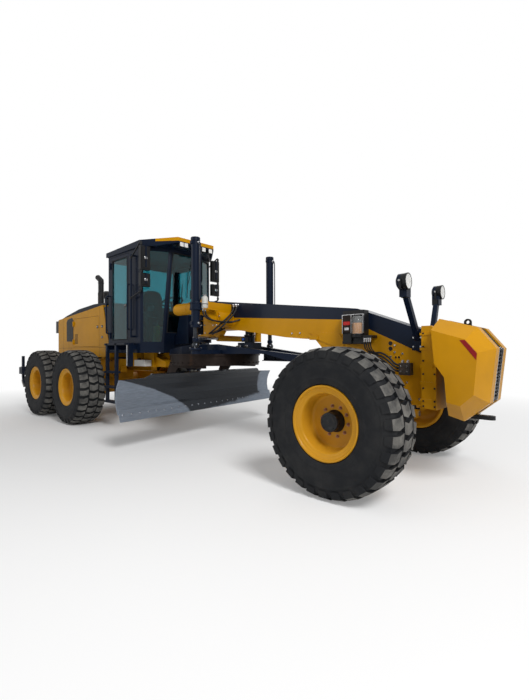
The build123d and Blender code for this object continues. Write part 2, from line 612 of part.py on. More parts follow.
# ---- front frame ----------------------------------------------------------------------
def make_front_frame():
    x, front = WHEELBASE, NOSE_PLATE_X[0]
    top = [(HINGE_X + 190, 2311), (HINGE_X + 292, 2311), (x - 453, 1982), (x - 303, 1962), (x - 188, 1917),
           (x + 349, 1717), (front, 1660)]
    low = [(front, 830), (front - 170, 830), (front - 210, 1000), (x - 360, 1000), (x - 480, 1060), (x - 580, 1380),
           (x - 720, 1400), (x - 824, 1483), (x - 941, 1605), (x - 1119, 1608), (x - 1444, 1638),
           (LIFT_X + 286, 1768), (LIFT_X - 86, 1800), (HINGE_X + 410, 1800), (HINGE_X + 330, 1700),
           (HINGE_X + 190, 1700)]
    pieces = [side_plate(top + low, (-BEAM_HALF_Y, BEAM_HALF_Y))]
    # cheeks over both lugs of the rear frame, with the hinge's pins
    for z in (HINGE_LOW_Z, HINGE_HIGH_Z):
        cheek = (z + LUG_T / 2 + FIT, z + LUG_T / 2 + CHEEK_T)
        pieces.append(block((HINGE_X, HINGE_X + 210), (-HINGE_R, HINGE_R), cheek))
        pieces.append(bar((HINGE_X, 0, cheek[0]), (HINGE_X, 0, cheek[1]), HINGE_R))
        pieces.append(bar((HINGE_X, 0, z - LUG_T / 2), (HINGE_X, 0, cheek[1]), HINGE_PIN_R))
    # bolted flange box that carries the nose
    x0, x1 = NOSE_PLATE_X
    pieces.append(side_plate([(x0, 830), (x1, 815), (x1, 1640), (x1 - 50, 1700), (x0, 1700)], (-330, 330)))
    for z in (900, 1080, 1260, 1440, 1600):
        pieces.append(block((x0 - 14, x1 - 30), (-338, 338), (z, z + 26)))
    # socket of the drawbar's ball
    socket = block((BALL_X + 40, BALL_X + 210), (-95, 95), (BALL_Z - 95, BALL_Z + 95))
    pieces.append(socket - ball(BALL_R + FIT, BALL_X, 0, BALL_Z))
    # hangers of the axle and their pin
    for span in ((x - HANGER_DX[1], x - HANGER_DX[0]), (x + HANGER_DX[0], x + HANGER_DX[1])):
        pieces.append(block(span, (-120, 120), (AXLE_PIN_Z, 1010)))
        pieces.append(bar((span[0], 0, AXLE_PIN_Z), (span[1], 0, AXLE_PIN_Z), 75))
    reach = HANGER_DX[1] + 15
    pieces.append(bar((WHEELBASE - reach, 0, AXLE_PIN_Z), (WHEELBASE + reach, 0, AXLE_PIN_Z), 45))
    # grease pump's box and the steering valve on the right side
    y = -BEAM_HALF_Y
    pieces.append(block((x - 440, x - 150), (y - 110, y), (1530, 1930)))
    pieces.append(block((x + 260, x + 390), (y - 90, y), (1165, 1300)))
    pieces.append(block((x - 1010, x - 880), (-BEAM_HALF_Y - 25, BEAM_HALF_Y + 25), (1590, 1650)))
    save("front_frame", join(*pieces))


def make_saddle():
    inner = BEAM_HALF_Y
    arm = front_plate([(inner, 1830), (inner, 2200), (LIFT_Y - 140, 2200), (LIFT_Y - 140, 2050),
                       (LIFT_Y - 300, 1900)], (LIFT_X - 60, LIFT_X + 60))
    arm -= bar((LIFT_X, LIFT_Y - 240, LIFT_TRUNNION_Z), (LIFT_X, LIFT_Y - 100, LIFT_TRUNNION_Z), 38 + FIT)
    tube = bar((LIFT_X - 726, 640, 2130), (LIFT_X - 60, 640, 2130), 95)
    tube += block((LIFT_X - 526, LIFT_X - 286), (inner, 640), (2060, 2180))
    tube += bar((LIFT_X - 90, 640, 2130), (LIFT_X - 40, 640, 2130), 125)
    arm += bar((LIFT_X, inner, 1950), (LIFT_X, inner + 290, 1950), 125)
    arm += bar((LIFT_X, inner + 280, 1950), (LIFT_X, inner + 310, 1950), 85)
    # yoke of the side shift cylinder on the left arm
    y, z = SHIFT_BARREL_Y, SHIFT_Z
    lugs = [block((x, x + 40), (y - 60, y + 60), (z - 50, 2080)) for x in (SHIFT_X - 100, SHIFT_X + 60)]
    left = join(arm, tube, *lugs)
    left -= bar((SHIFT_X - 120, y, z), (SHIFT_X + 120, y, z), CYL_PIN_R + FIT)
    save("lift_saddle", left, flip(arm + tube))


def make_nose():
    # (x, z) outlines of the shell's rim near the centre and of its flat outer side
    back = NOSE_PLATE_X[1]
    rim_line = [(back + dx, z) for dx, z in (
        (0, 1774), (366, 1670), (533, 1458), (474, 919), (240, 718), (90, 760), (50, 1168), (0, 1360))]
    face_line = [(back + dx, z) for dx, z in (
        (0, 1643), (320, 1542), (426, 1412), (391, 1013), (271, 898), (146, 926), (127, 1168), (30, 1307))]
    inner = Wire.make_polygon([(x, 226, z) for x, z in rim_line])
    outer = Wire.make_polygon([(x, 480, z) for x, z in face_line])
    shell = Solid.make_loft([inner, outer], ruled=True)
    core = side_plate([(x, z) for x, z in rim_line], (100, 226))
    half = join(shell, core)
    save("nose_housing", *both(half - block((back - 10, back + FIT), (-500, 500), (600, 1900))))
    core = [(back + dx, z) for dx, z in (
        (FIT, 1760), (360, 1655), (515, 1455), (458, 925), (232, 732), (100, 770), (60, 1168), (FIT, 1360))]
    grille = side_plate(core, (-100 + FIT, 100 - FIT))
    for i in range(GRILLE_SLOTS):
        z = 960 + i * 38
        grille -= block((back + 440, back + 540), (-78, 78), (z, z + 20))
    x, z = LIFT_EYE
    eye = join(bar((x, -15, z), (x, 15, z), 36), block((x - 36, x + 36), (-15, 15), (z - 60, z)))
    tow = join(block((TOW_X - 210, TOW_X), (-45, 45), TOW_Z), bar((TOW_X, 0, TOW_Z[0]), (TOW_X, 0, TOW_Z[1]), 45))
    grille = join(grille, eye, tow)
    grille -= bar((x, -50, z), (x, 50, z), LIFT_EYE_R)
    grille -= bar((TOW_X, 0, TOW_Z[0] - 50), (TOW_X, 0, TOW_Z[1] + 50), TOW_R)
    save("nose_grille", grille)


def make_work_lamps():
    base_x, base_z = WHEELBASE + 460, 1560
    head_x = base_x - 30
    lamp = join(block((base_x - 60, base_x + 60), (BEAM_HALF_Y, BEAM_HALF_Y + 60), (base_z - 120, base_z + 60)),
                square_bar((base_x, BEAM_HALF_Y + 40, base_z), (head_x, 470, 2030), 28),
                block((head_x - 40, head_x + 40), (430, 540), (2000, 2110)),
                bar((head_x, 528, 2100), (head_x, 528, 2150), 14),
                bar((head_x - 40, 528, 2160), (head_x + 50, 528, 2160), 85))
    save("work_lamps", *both(lamp))


def make_axle():
    x = WHEELBASE
    end = LEAN_Y - 90
    beam = front_plate([(-end, 540), (-300, 590), (300, 590), (end, 540), (end, 660), (260, 740), (150, 870),
                        (-150, 870), (-260, 740), (-end, 660)], (x - 100, x + 100))
    cheeks = []
    for side in (-1, 1):
        for x0, x1 in ((x - 100, x - 50 - FIT), (x + 50 + FIT, x + 100)):
            cheeks.append(block((x0, x1), sorted((side * end, side * LEAN_Y)), (LEAN_Z - 50, LEAN_Z + 50)))
            cheeks.append(bar((x0, side * LEAN_Y, LEAN_Z), (x1, side * LEAN_Y, LEAN_Z), 50))
    axle = join(beam, *cheeks)
    axle -= bar((x - 200, 0, AXLE_PIN_Z), (x + 200, 0, AXLE_PIN_Z), 45 + FIT)
    for side in (-1, 1):
        axle -= bar((x - 150, side * LEAN_Y, LEAN_Z), (x + 150, side * LEAN_Y, LEAN_Z), LEAN_PIN_R + FIT)
    save("axle_beam", axle)


def make_front_ends():
    x = WHEELBASE
    bar_x = x + LEAN_BAR_DX
    knuckle_z = (LEAN_Z + 60, WHEEL_Z + 128)
    arm_z = (TIE_ROD_Z + 35, TIE_ROD_Z + 67)
    for side, name in ((-1, "right"), (1, "left")):
        def at(y0, y1):
            return sorted((side * y0, side * y1))
        pivot, king = side * LEAN_Y, side * KINGPIN_Y
        eyes = ((LEAN_Z - 20, knuckle_z[0] - FIT), (knuckle_z[1] + FIT, WHEEL_Z + 190))
        yoke = join(block((x - YOKE_HALF_T, x + YOKE_HALF_T), at(LEAN_Y - 20, KINGPIN_Y - 75),
                          (LEAN_Z, WHEEL_Z + 190)),
                    bar((x - 50, pivot, LEAN_Z), (x + 50, pivot, LEAN_Z), 50),
                    bar((x - 112, pivot, LEAN_Z), (x + 112, pivot, LEAN_Z), LEAN_PIN_R),
                    *[block((x - 50, x + 50), at(KINGPIN_Y - 80, KINGPIN_Y), z) for z in eyes],
                    *[bar((x, king, z[0]), (x, king, z[1]), 60) for z in eyes],
                    block((x + 30, bar_x - 40), at(LEAN_Y - 30, LEAN_Y + 40),
                          (LEAN_BAR_Z - 35, LEAN_BAR_Z + 10)),
                    bar((bar_x - 60, pivot, LEAN_BAR_Z), (bar_x + 40, pivot, LEAN_BAR_Z), 18))
        yoke -= bar((x, king, 400), (x, king, 1100), KINGPIN_R + FIT)
        save(f"lean_yoke_{name}", yoke)
        knuckle = join(bar((x, king, LEAN_Z - 25), (x, king, WHEEL_Z + 195), KINGPIN_R),
                       bar((x, king, knuckle_z[0]), (x, king, knuckle_z[1]), 64),
                       bar((x, king, WHEEL_Z), (x, side * (WHEEL_Y + SPINDLE_OUT), WHEEL_Z), SPINDLE_R - 20),
                       bar((x, side * (WHEEL_Y + HUB_IN - 10), WHEEL_Z),
                           (x, side * (WHEEL_Y + SPINDLE_OUT), WHEEL_Z), SPINDLE_R),
                       block((x - STEER_ARM, x), at(KINGPIN_Y - ARM_HALF_W, KINGPIN_Y + ARM_HALF_W), arm_z),
                       bar((x - STEER_ARM, king, arm_z[0]), (x - STEER_ARM, king, arm_z[1]), ARM_HALF_W))
        if side < 0:
            knuckle -= bar((x - STEER_ARM, king, 500), (x - STEER_ARM, king, 900), TIE_STUD_R + FIT)
        else:
            knuckle += tie_stud(king)
        save(f"knuckle_{name}", knuckle)
    lean_bar = join(bar((bar_x, -LEAN_Y, LEAN_BAR_Z), (bar_x, LEAN_Y, LEAN_BAR_Z), 28),
                    *[bar((bar_x - 30, y, LEAN_BAR_Z), (bar_x + 30, y, LEAN_BAR_Z), 34) for y in (-LEAN_Y, LEAN_Y)])
    for s in (-1, 1):
        lean_bar -= bar((x, s * LEAN_Y, LEAN_BAR_Z), (x + 300, s * LEAN_Y, LEAN_BAR_Z), 18 + FIT)
    save("lean_bar", lean_bar)
    arm_x = x - STEER_ARM
    save("tie_rod_end", tie_stud(-KINGPIN_Y))
    eye_z = (TIE_ROD_Z - 26, TIE_ROD_Z + 16)
    slot = KINGPIN_Y - 14       # inner end of the left eye's slot
    tie = join(bar((arm_x, -KINGPIN_Y, TIE_ROD_Z), (arm_x, KINGPIN_Y, TIE_ROD_Z), 18),
               bar((arm_x, -KINGPIN_Y, eye_z[0]), (arm_x, -KINGPIN_Y, eye_z[1]), 30),
               block((arm_x - 32, arm_x + 32), (slot - 34, KINGPIN_Y + 34), eye_z))
    tie -= ball(TIE_BALL_R + FIT, arm_x, -KINGPIN_Y, TIE_ROD_Z)
    tie -= bar((arm_x, -KINGPIN_Y, TIE_ROD_Z), (arm_x, -KINGPIN_Y, TIE_ROD_Z + 60), 18)
    tie -= block((arm_x - 25, arm_x + 25), (slot - 25, KINGPIN_Y + 25), (TIE_ROD_Z - 24, TIE_ROD_Z + 60))
    save("tie_rod", tie)


def tie_stud(y):
    """Ball under a steering arm with its pin up through the arm."""
    x = WHEELBASE - STEER_ARM
    return join(ball(TIE_BALL_R, x, y, TIE_ROD_Z), bar((x, y, TIE_ROD_Z), (x, y, TIE_ROD_Z + 72), TIE_STUD_R))


# ---- drawbar, circle and blade --------------------------------------------------------
def make_drawbar():
    z0, z1 = DRAWBAR_LOW_Z, DRAWBAR_LOW_Z + DRAWBAR_T
    back = DRAWBAR_BACK
    outline = [(BALL_X - 110, 40), (BALL_X - 110, 120), (LIFT_X + 200, 405), (LIFT_X - 240, 420),
               (CIRCLE_X + 150, 560), (CIRCLE_X - 100, 640), (back, 560), (back, 460), (CIRCLE_X - 100, 530),
               (CIRCLE_X + 110, 460), (LIFT_X - 290, 350), (LIFT_X + 160, 335)]
    profile = side_plate([(back - 50, z0), (LIFT_X + 900, z0), (BALL_X - 250, BALL_Z - 60),
                          (BALL_X - 35, BALL_Z - 80), (BALL_X - 35, BALL_Z + 80), (LIFT_X, z1),
                          (CIRCLE_X + 150, z1), (back, z0 + 80)], (-900, 900))
    sides = [plan_plate([(x, s * y) for x, y in outline], (BALL_Z - 100, z1)) & profile for s in (-1, 1)]
    deck_x = (LIFT_X + 10, LIFT_X + 480)
    deck = plan_plate([(deck_x[0], -380), (deck_x[1], -330), (deck_x[1], 330), (deck_x[0], 380)], (z0, z0 + 40))
    rear = block((back, back + 90), (-500, 500), (z0, z0 + 80))
    tongue = block((BALL_X - 480, BALL_X - 35), (-80, 80), (BALL_Z - 100, BALL_Z + 120)) & profile
    lifts = []
    for s in (-1, 1):
        lifts.append(block((LIFT_X - 70, LIFT_X + 70), sorted((s * 400, s * LIFT_Y)), (z0, LIFT_PAD_Z)))
        lifts.append(bar((LIFT_X, s * LIFT_Y, z0), (LIFT_X, s * LIFT_Y, LIFT_PAD_Z), 70))
    # post under the side shift cylinder's ball
    x, y = SHIFT_X, SHIFT_ROD_Y
    post_top = SHIFT_Z - SHIFT_BALL_R - SHIFT_STUD_GAP
    post = [block((x - 60, x + 60), (y - 60, y + 200), (z0, z0 + 40)),
            bar((x, y, z0), (x, y, post_top - 30), 45),
            bar((x, y, z0), (x, y, post_top), 22)]
    tongue -= ball(BALL_R + FIT, BALL_X, 0, BALL_Z)
    save("drawbar", join(*sides, deck, rear, tongue, *lifts, *post))
    save("drawbar_ball", ball(BALL_R, BALL_X, 0, BALL_Z))
    motor_x = LIFT_X + 290
    motor = join(block((motor_x - 130, motor_x + 130), (-120, 160), (z0 + 40, z1 + 30)),
                 bar((motor_x, 20, z1), (motor_x, 20, z1 + 130), 80))
    save("circle_drive", motor)


def make_circle():
    z0, z1 = CIRCLE_Z
    ring = bar((CIRCLE_X, 0, z0), (CIRCLE_X, 0, z1), CIRCLE_R)
    ring -= bar((CIRCLE_X, 0, z0 - 10), (CIRCLE_X, 0, z1 + 10), CIRCLE_R - CIRCLE_WALL)
    arm = [(CIRCLE_X - 410, z0 + 40), (TIP_X - 90, 1000), (TIP_X - 70, TIP_Z - 70), (TIP_X + 60, TIP_Z - 70),
           (TIP_X + 70, TIP_Z), (TIP_X + 80, 1000), (CIRCLE_X - 210, z0 - 40), (CIRCLE_X + 380, z0 - 40),
           (CIRCLE_X + 380, z0 + 40)]
    arms = [side_plate(arm, sorted((s * ARM_Y[0], s * ARM_Y[1]))) for s in (-1, 1)]
    inner = CIRCLE_R - CIRCLE_WALL
    root, tip = CIRCLE_X + inner + 5, CIRCLE_X + inner - TOOTH_HEIGHT
    tooth = plan_plate([(root, -17), (root, 17), (tip, 7), (tip, -7)], (z0, z0 + 70))
    teeth = [turn(tooth, 360 * i / CIRCLE_TEETH, CIRCLE_X) for i in range(CIRCLE_TEETH)]
    flange = bar((CIRCLE_X, 0, z1 - 30), (CIRCLE_X, 0, z1), CIRCLE_R + 22)
    flange -= bar((CIRCLE_X, 0, z1 - 40), (CIRCLE_X, 0, z1 + 10), CIRCLE_R - 5)
    circle = join(ring, flange, *arms, *teeth)
    circle -= bar((TIP_X, -ARM_Y[1] - 50, TIP_Z), (TIP_X, ARM_Y[1] + 50, TIP_Z), 30 + FIT)
    save("circle", turn(circle, BLADE_YAW, CIRCLE_X))


def blade_arc(radius, centre, low, high, thick):
    """Curved plate section of (x, z) points, hollow side forward."""
    count = 7
    angles = [low + (high - low) * i / (count - 1) for i in range(count)]
    outer = [(centre[0] - (radius + thick) * cos(radians(a)), centre[1] + (radius + thick) * sin(radians(a)))
             for a in angles]
    inner = [(centre[0] - radius * cos(radians(a)), centre[1] + radius * sin(radians(a))) for a in angles]
    return outer + inner[::-1]


def make_blade():
    half = BLADE_LENGTH / 2
    low, high = BLADE_ARC
    centre = (BLADE_FACE_X + BLADE_ARC_R, BLADE_ARC_Z)
    mould = side_plate(blade_arc(BLADE_ARC_R, centre, low, high, 22), (-half, half))
    foot_x = centre[0] - BLADE_ARC_R * cos(radians(low))
    foot_z = centre[1] + BLADE_ARC_R * sin(radians(low))
    edge = side_plate([(foot_x + 8, foot_z + 60), (foot_x - 18, foot_z + 60), (foot_x + 40, BLADE_LOW_Z),
                       (foot_x + 66, BLADE_LOW_Z), (foot_x + 20, foot_z + 10)], (-half, half))
    rail_x = BLADE_FACE_X - 22
    hollow = side_plate(blade_arc(BLADE_ARC_R, centre, low, high, 12), (-half - 10, half + 10))
    rails = [block((rail_x - 55, rail_x + 80), (-half + 350, half - 350), (z, z + 50)) - hollow
             for z in (TIP_Z + 130, TIP_Z - 60)]
    rails = [max(rail.solids(), key=lambda solid: -solid.center().X) for rail in rails]
    for s in (-1, 1):
        # cut-down upper corner
        corner = [(half + 10, 1035), (half - 430, 1050), (half - 560, 1120), (half + 10, 1120)]
        mould -= front_plate([(s * y, z) for y, z in corner], (CIRCLE_X - 300, CIRCLE_X + 300))
    blade = join(mould, *rails)
    save("mouldboard", turn(blade, BLADE_YAW, CIRCLE_X))
    save("cutting_edge", turn(edge - mould, BLADE_YAW, CIRCLE_X))
    # carrier between the circle's arms, with shoes round the rails
    y = ARM_Y[0] - 8
    carrier = join(bar((TIP_X, -ARM_Y[1] - 10, TIP_Z), (TIP_X, ARM_Y[1] + 10, TIP_Z), 30),
                   bar((TIP_X, -y, TIP_Z), (TIP_X, y, TIP_Z), 60))
    for s in (-1, 1):
        plate = side_plate([(TIP_X - 50, TIP_Z - 60), (rail_x - 60, TIP_Z - 90), (rail_x - 20, TIP_Z - 90),
                            (rail_x - 20, TIP_Z + 210), (rail_x - 60, TIP_Z + 210), (TIP_X - 50, TIP_Z + 60)],
                           sorted((s * (y - 110), s * y)))
        for z in (TIP_Z + 130, TIP_Z - 60):
            plate -= block((rail_x - 55 - FIT, rail_x + 50), (-half, half), (z - FIT, z + 50 + FIT))
        carrier += plate
    save("blade_carrier", turn(carrier, BLADE_YAW, CIRCLE_X))


# ---- cylinders ------------------------------------------------------------------------
def cylinder(pivot, eye, barrel_r, rod_r, back, front, head, used):
    """Barrel and rod on the line from the barrel's pivot to the rod's eye.

    back and front are the barrel's reach behind and ahead of its pivot, head its solid end,
    and used the piston's distance from that end."""
    pivot, eye = Vector(*pivot), Vector(*eye)
    line = (eye - pivot).normalized()
    tail, mouth = pivot - line * back, pivot + line * front
    bore_r = barrel_r - BARREL_WALL
    barrel = bar(tail, mouth, barrel_r)
    barrel -= bar(tail + line * head, mouth - line * 50, bore_r)
    barrel -= bar(mouth - line * 60, mouth + line * 10, rod_r + FIT)
    piston = tail + line * (head + used)
    rod = bar(piston, eye, rod_r)
    rod += bar(piston, piston + line * PISTON_T, bore_r - FIT)
    return barrel, rod


def make_lift_cylinders():
    pivot, eye = (LIFT_X, LIFT_Y, LIFT_TRUNNION_Z), (LIFT_X, LIFT_Y, LIFT_BALL_Z)
    barrel, rod = cylinder(pivot, eye, BARREL_R, ROD_R, LIFT_TOP_Z - LIFT_TRUNNION_Z,
                           LIFT_TRUNNION_Z - LIFT_MOUTH_Z, LIFT_HEAD, LIFT_PISTON)
    collar = bar((LIFT_X, LIFT_Y, LIFT_TRUNNION_Z - 60), (LIFT_X, LIFT_Y, LIFT_TRUNNION_Z + 60), BARREL_R + 18)
    collar -= bar((LIFT_X, LIFT_Y, LIFT_TRUNNION_Z - 80), (LIFT_X, LIFT_Y, LIFT_TRUNNION_Z + 80), BARREL_R - 5)
    pin = bar((LIFT_X, LIFT_Y - BARREL_R - 5, LIFT_TRUNNION_Z), (LIFT_X, LIFT_Y - 220, LIFT_TRUNNION_Z), 38)
    save("lift_barrels", *both(join(barrel, collar, pin)))
    save("lift_rods", *both(join(rod, ball(LIFT_BALL_R, *eye))))


def make_shift_cylinder():
    pivot, eye = (SHIFT_X, SHIFT_BARREL_Y, SHIFT_Z), (SHIFT_X, SHIFT_ROD_Y, SHIFT_Z)
    barrel, rod = cylinder(pivot, eye, SHIFT_BARREL_R, SHIFT_CYL_ROD_R, SMALL_TAIL, SHIFT_BARREL_REACH,
                           SMALL_HEAD, SHIFT_PISTON)
    save("side_shift_barrel", barrel + bar((SHIFT_X - 100, *pivot[1:]), (SHIFT_X + 100, *pivot[1:]), CYL_PIN_R))
    save("side_shift_rod", join(rod, ball(SHIFT_BALL_R, *eye)))


# ---- ripper ---------------------------------------------------------------------------
def make_ripper():
    x, z = RIPPER_BEAM_X, RIPPER_BEAM_Z
    px, pz = RIPPER_PIVOT_X, RIPPER_PIVOT_Z
    ex, ez = RIPPER_EYE
    beam = block((x - 110, x + 110), (-RIPPER_HALF_Y, RIPPER_HALF_Y), (z - 90, z + 90))
    arms = []
    for side in (-1, 1):
        y0, y1 = sorted((side * RIPPER_ARM_Y[0], side * RIPPER_ARM_Y[1]))
        arms.append(side_plate([(x, z - 70), (px, pz - 60), (px, pz + 60), (x, z + 70)], (y0, y1)))
        arms.append(bar((px, y0, pz), (px, y1, pz), 62))
        arms.append(bar((px, y0 - 60, pz), (px, y1 + 60, pz), RIPPER_PIN_R))
        for y in ((RIPPER_CYL_Y - 60, RIPPER_CYL_Y - 35), (RIPPER_CYL_Y + 35, RIPPER_CYL_Y + 60)):
            ear = [(x, z + 50), (ex + 60, z + 50), (ex + 40, ez + 40), (ex - 40, ez + 40)]
            arms.append(side_plate(ear, sorted((side * y[0], side * y[1]))))
    ripper = join(beam, *arms)
    for y in RIPPER_SHANK_Y:
        ripper += block((x - 230, x), (y - 60, y + 60), (z - 100, z + 100))
        ripper += side_plate([(x - 250, 1340), (x - 190, 1340), (x - 190, 800), (x - 70, 560), (x - 90, 520),
                              (x - 210, 640), (x - 250, 800)], (y - 30, y + 30))
    for y in (-RIPPER_CYL_Y, RIPPER_CYL_Y):
        ripper += bar((ex, y - 60, ez), (ex, y + 60, ez), CYL_PIN_R)
    save("ripper", ripper)


def make_ripper_cylinders():
    (bx, bz), (ex, ez) = RIPPER_BARREL, RIPPER_EYE
    y = RIPPER_CYL_Y
    barrel, rod = cylinder((bx, y, bz), (ex, y, ez), RIPPER_BARREL_R, RIPPER_ROD_R, SMALL_TAIL,
                           RIPPER_BARREL_REACH, SMALL_HEAD, RIPPER_PISTON)
    barrel += bar((bx, y - 95, bz), (bx, y + 95, bz), CYL_PIN_R)
    rod += bar((ex, y - 30, ez), (ex, y + 30, ez), 56)
    rod -= bar((ex, y - 40, ez), (ex, y + 40, ez), CYL_PIN_R + EYE_PLAY)
    save("ripper_barrels", *both(barrel))
    save("ripper_rods", *both(rod))


make_wheels()
make_tandem_cases()
make_rear_chassis()
make_engine()
make_hood()
make_exhaust()
make_cab()
make_cab_door_glass()
make_cab_inside()
make_ladders()
make_mirrors()
make_rear_lamps()
make_front_frame()
make_saddle()
make_nose()
make_work_lamps()
make_axle()
make_front_ends()
make_drawbar()
make_circle()
make_blade()
make_lift_cylinders()
make_shift_cylinder()
make_ripper()
make_ripper_cylinders()
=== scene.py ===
import json
import math

import bmesh
import bpy
from mathutils import Matrix, Vector


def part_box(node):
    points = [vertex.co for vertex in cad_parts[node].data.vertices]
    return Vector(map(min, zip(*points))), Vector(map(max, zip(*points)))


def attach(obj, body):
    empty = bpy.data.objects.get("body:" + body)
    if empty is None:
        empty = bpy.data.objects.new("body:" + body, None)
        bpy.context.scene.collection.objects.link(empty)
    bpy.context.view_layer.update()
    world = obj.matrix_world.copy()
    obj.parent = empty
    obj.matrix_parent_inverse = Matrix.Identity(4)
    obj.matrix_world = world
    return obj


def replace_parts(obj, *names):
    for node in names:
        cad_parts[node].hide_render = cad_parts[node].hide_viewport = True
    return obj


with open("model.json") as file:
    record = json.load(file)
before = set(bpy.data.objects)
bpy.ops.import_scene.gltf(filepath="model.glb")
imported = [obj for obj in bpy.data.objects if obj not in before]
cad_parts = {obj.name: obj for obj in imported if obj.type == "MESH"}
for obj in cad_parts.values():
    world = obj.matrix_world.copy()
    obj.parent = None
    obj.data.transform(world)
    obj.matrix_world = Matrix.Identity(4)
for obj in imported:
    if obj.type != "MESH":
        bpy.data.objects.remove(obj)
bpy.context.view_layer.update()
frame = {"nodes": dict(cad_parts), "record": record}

NODES = frame["nodes"]
SIDES = ((-1, "right"), (1, "left"))        # the machine's right is at -Y
AHEAD, BACK, UP, DOWN = (1, 0, 0), (-1, 0, 0), (0, 0, 1), (0, 0, -1)
LEFT, RIGHT = (0, 1, 0), (0, -1, 0)         # these two change places on a mirrored shape

# ---- camera ----
CAMERA_PLACE = (6.4385, -4.562, 1.426)
CAMERA_YAW, CAMERA_PITCH, CAMERA_ROLL = 132.04, 0.31, -0.16     # degrees, yaw from +X
CAMERA_LENS = 20.285


def add_object(name, data):
    obj = bpy.data.objects.new(name, data)
    bpy.context.scene.collection.objects.link(obj)
    return obj


def make_camera():
    data = bpy.data.cameras.new("camera")
    data.lens = CAMERA_LENS
    data.sensor_width = 36.0
    data.clip_start = 0.05
    data.clip_end = 200.0
    camera = add_object("camera", data)
    yaw, pitch = math.radians(CAMERA_YAW), math.radians(CAMERA_PITCH)
    level = math.cos(pitch)
    ahead = Vector((math.cos(yaw) * level, math.sin(yaw) * level, math.sin(pitch)))
    turn = ahead.to_track_quat("-Z", "Y").to_matrix().to_4x4()
    roll = Matrix.Rotation(math.radians(CAMERA_ROLL), 4, "Z")
    camera.matrix_world = Matrix.Translation(CAMERA_PLACE) @ turn @ roll
    bpy.context.scene.camera = camera


# ---- shader helpers ----
def new_material(name, color, roughness, metallic=0.0, specular=0.5):
    material = bpy.data.materials.new(name)
    material.use_nodes = True
    shader = material.node_tree.nodes["Principled BSDF"]
    shader.inputs["Base Color"].default_value = (*color, 1)
    shader.inputs["Roughness"].default_value = roughness
    shader.inputs["Metallic"].default_value = metallic
    shader.inputs["Specular IOR Level"].default_value = specular
    return material, material.node_tree, shader


def feed(tree, socket, value):
    """Give an input a number, a colour or another node's output."""
    if isinstance(value, (int, float)):
        socket.default_value = value
    elif isinstance(value, tuple):
        socket.default_value = (*value, 1)
    else:
        tree.links.new(value, socket)


def calc(tree, operation, first, second):
    node = tree.nodes.new("ShaderNodeMath")
    node.operation = operation
    feed(tree, node.inputs[0], first)
    feed(tree, node.inputs[1], second)
    return node.outputs[0]


def fade(tree, value, start, end, first=0.0, last=1.0):
    """From first to last while the value goes from start to end, and level beyond them."""
    node = tree.nodes.new("ShaderNodeMapRange")
    for key, number in (("Value", value), ("From Min", start), ("From Max", end), ("To Min", first),
                        ("To Max", last)):
        feed(tree, node.inputs[key], number)
    return node.outputs["Result"]


def surface(tree):
    """X, Y and Z of the surface, in metres, in the machine's frame."""
    coords = tree.nodes.new("ShaderNodeTexCoord")
    split = tree.nodes.new("ShaderNodeSeparateXYZ")
    tree.links.new(coords.outputs["Object"], split.inputs[0])
    return [split.outputs[axis] for axis in "XYZ"]


def noise(tree, scale, detail=4.0, rough=0.55, stretch=None):
    coords = tree.nodes.new("ShaderNodeTexCoord").outputs["Object"]
    node = tree.nodes.new("ShaderNodeTexNoise")
    node.inputs["Scale"].default_value = scale
    node.inputs["Detail"].default_value = detail
    node.inputs["Roughness"].default_value = rough
    if stretch:
        mapping = tree.nodes.new("ShaderNodeMapping")
        mapping.inputs["Scale"].default_value = stretch
        tree.links.new(coords, mapping.inputs["Vector"])
        coords = mapping.outputs["Vector"]
    tree.links.new(coords, node.inputs["Vector"])
    return node.outputs["Fac"]


def ramp(tree, source, low, first, high, last):
    node = tree.nodes.new("ShaderNodeValToRGB")
    for element, place, color in zip(node.color_ramp.elements, (low, high), (first, last)):
        element.position = place
        element.color = (*color, 1)
    tree.links.new(source, node.inputs["Fac"])
    return node.outputs["Color"]


def mottle(tree, source, color, shade, low=0.3, high=0.7):
    """The colour, darkened by the shade where the noise is low."""
    return ramp(tree, source, low, tuple(c * shade for c in color), high, color)


def patches(tree, source, low, high, share):
    """0 where the noise is low, and the share where it is high."""
    return ramp(tree, source, low, (0, 0, 0), high, (share,) * 3)


def mix_color(tree, factor, first, second):
    node = tree.nodes.new("ShaderNodeMix")
    node.data_type = "RGBA"
    for key, value in ((0, factor), (6, first), (7, second)):
        feed(tree, node.inputs[key], value)
    return node.outputs[2]


def bump(tree, shader, height, strength, distance):
    node = tree.nodes.new("ShaderNodeBump")
    node.inputs["Strength"].default_value = strength
    node.inputs["Distance"].default_value = distance
    tree.links.new(height, node.inputs["Height"])
    tree.links.new(node.outputs["Normal"], shader.inputs["Normal"])


# ---- floor and light ----
FLOOR_REACH = 60
SHADOW_NEAR, SHADOW_FAR = 3.0, 11.0     # metres from the middle over which the floor turns white


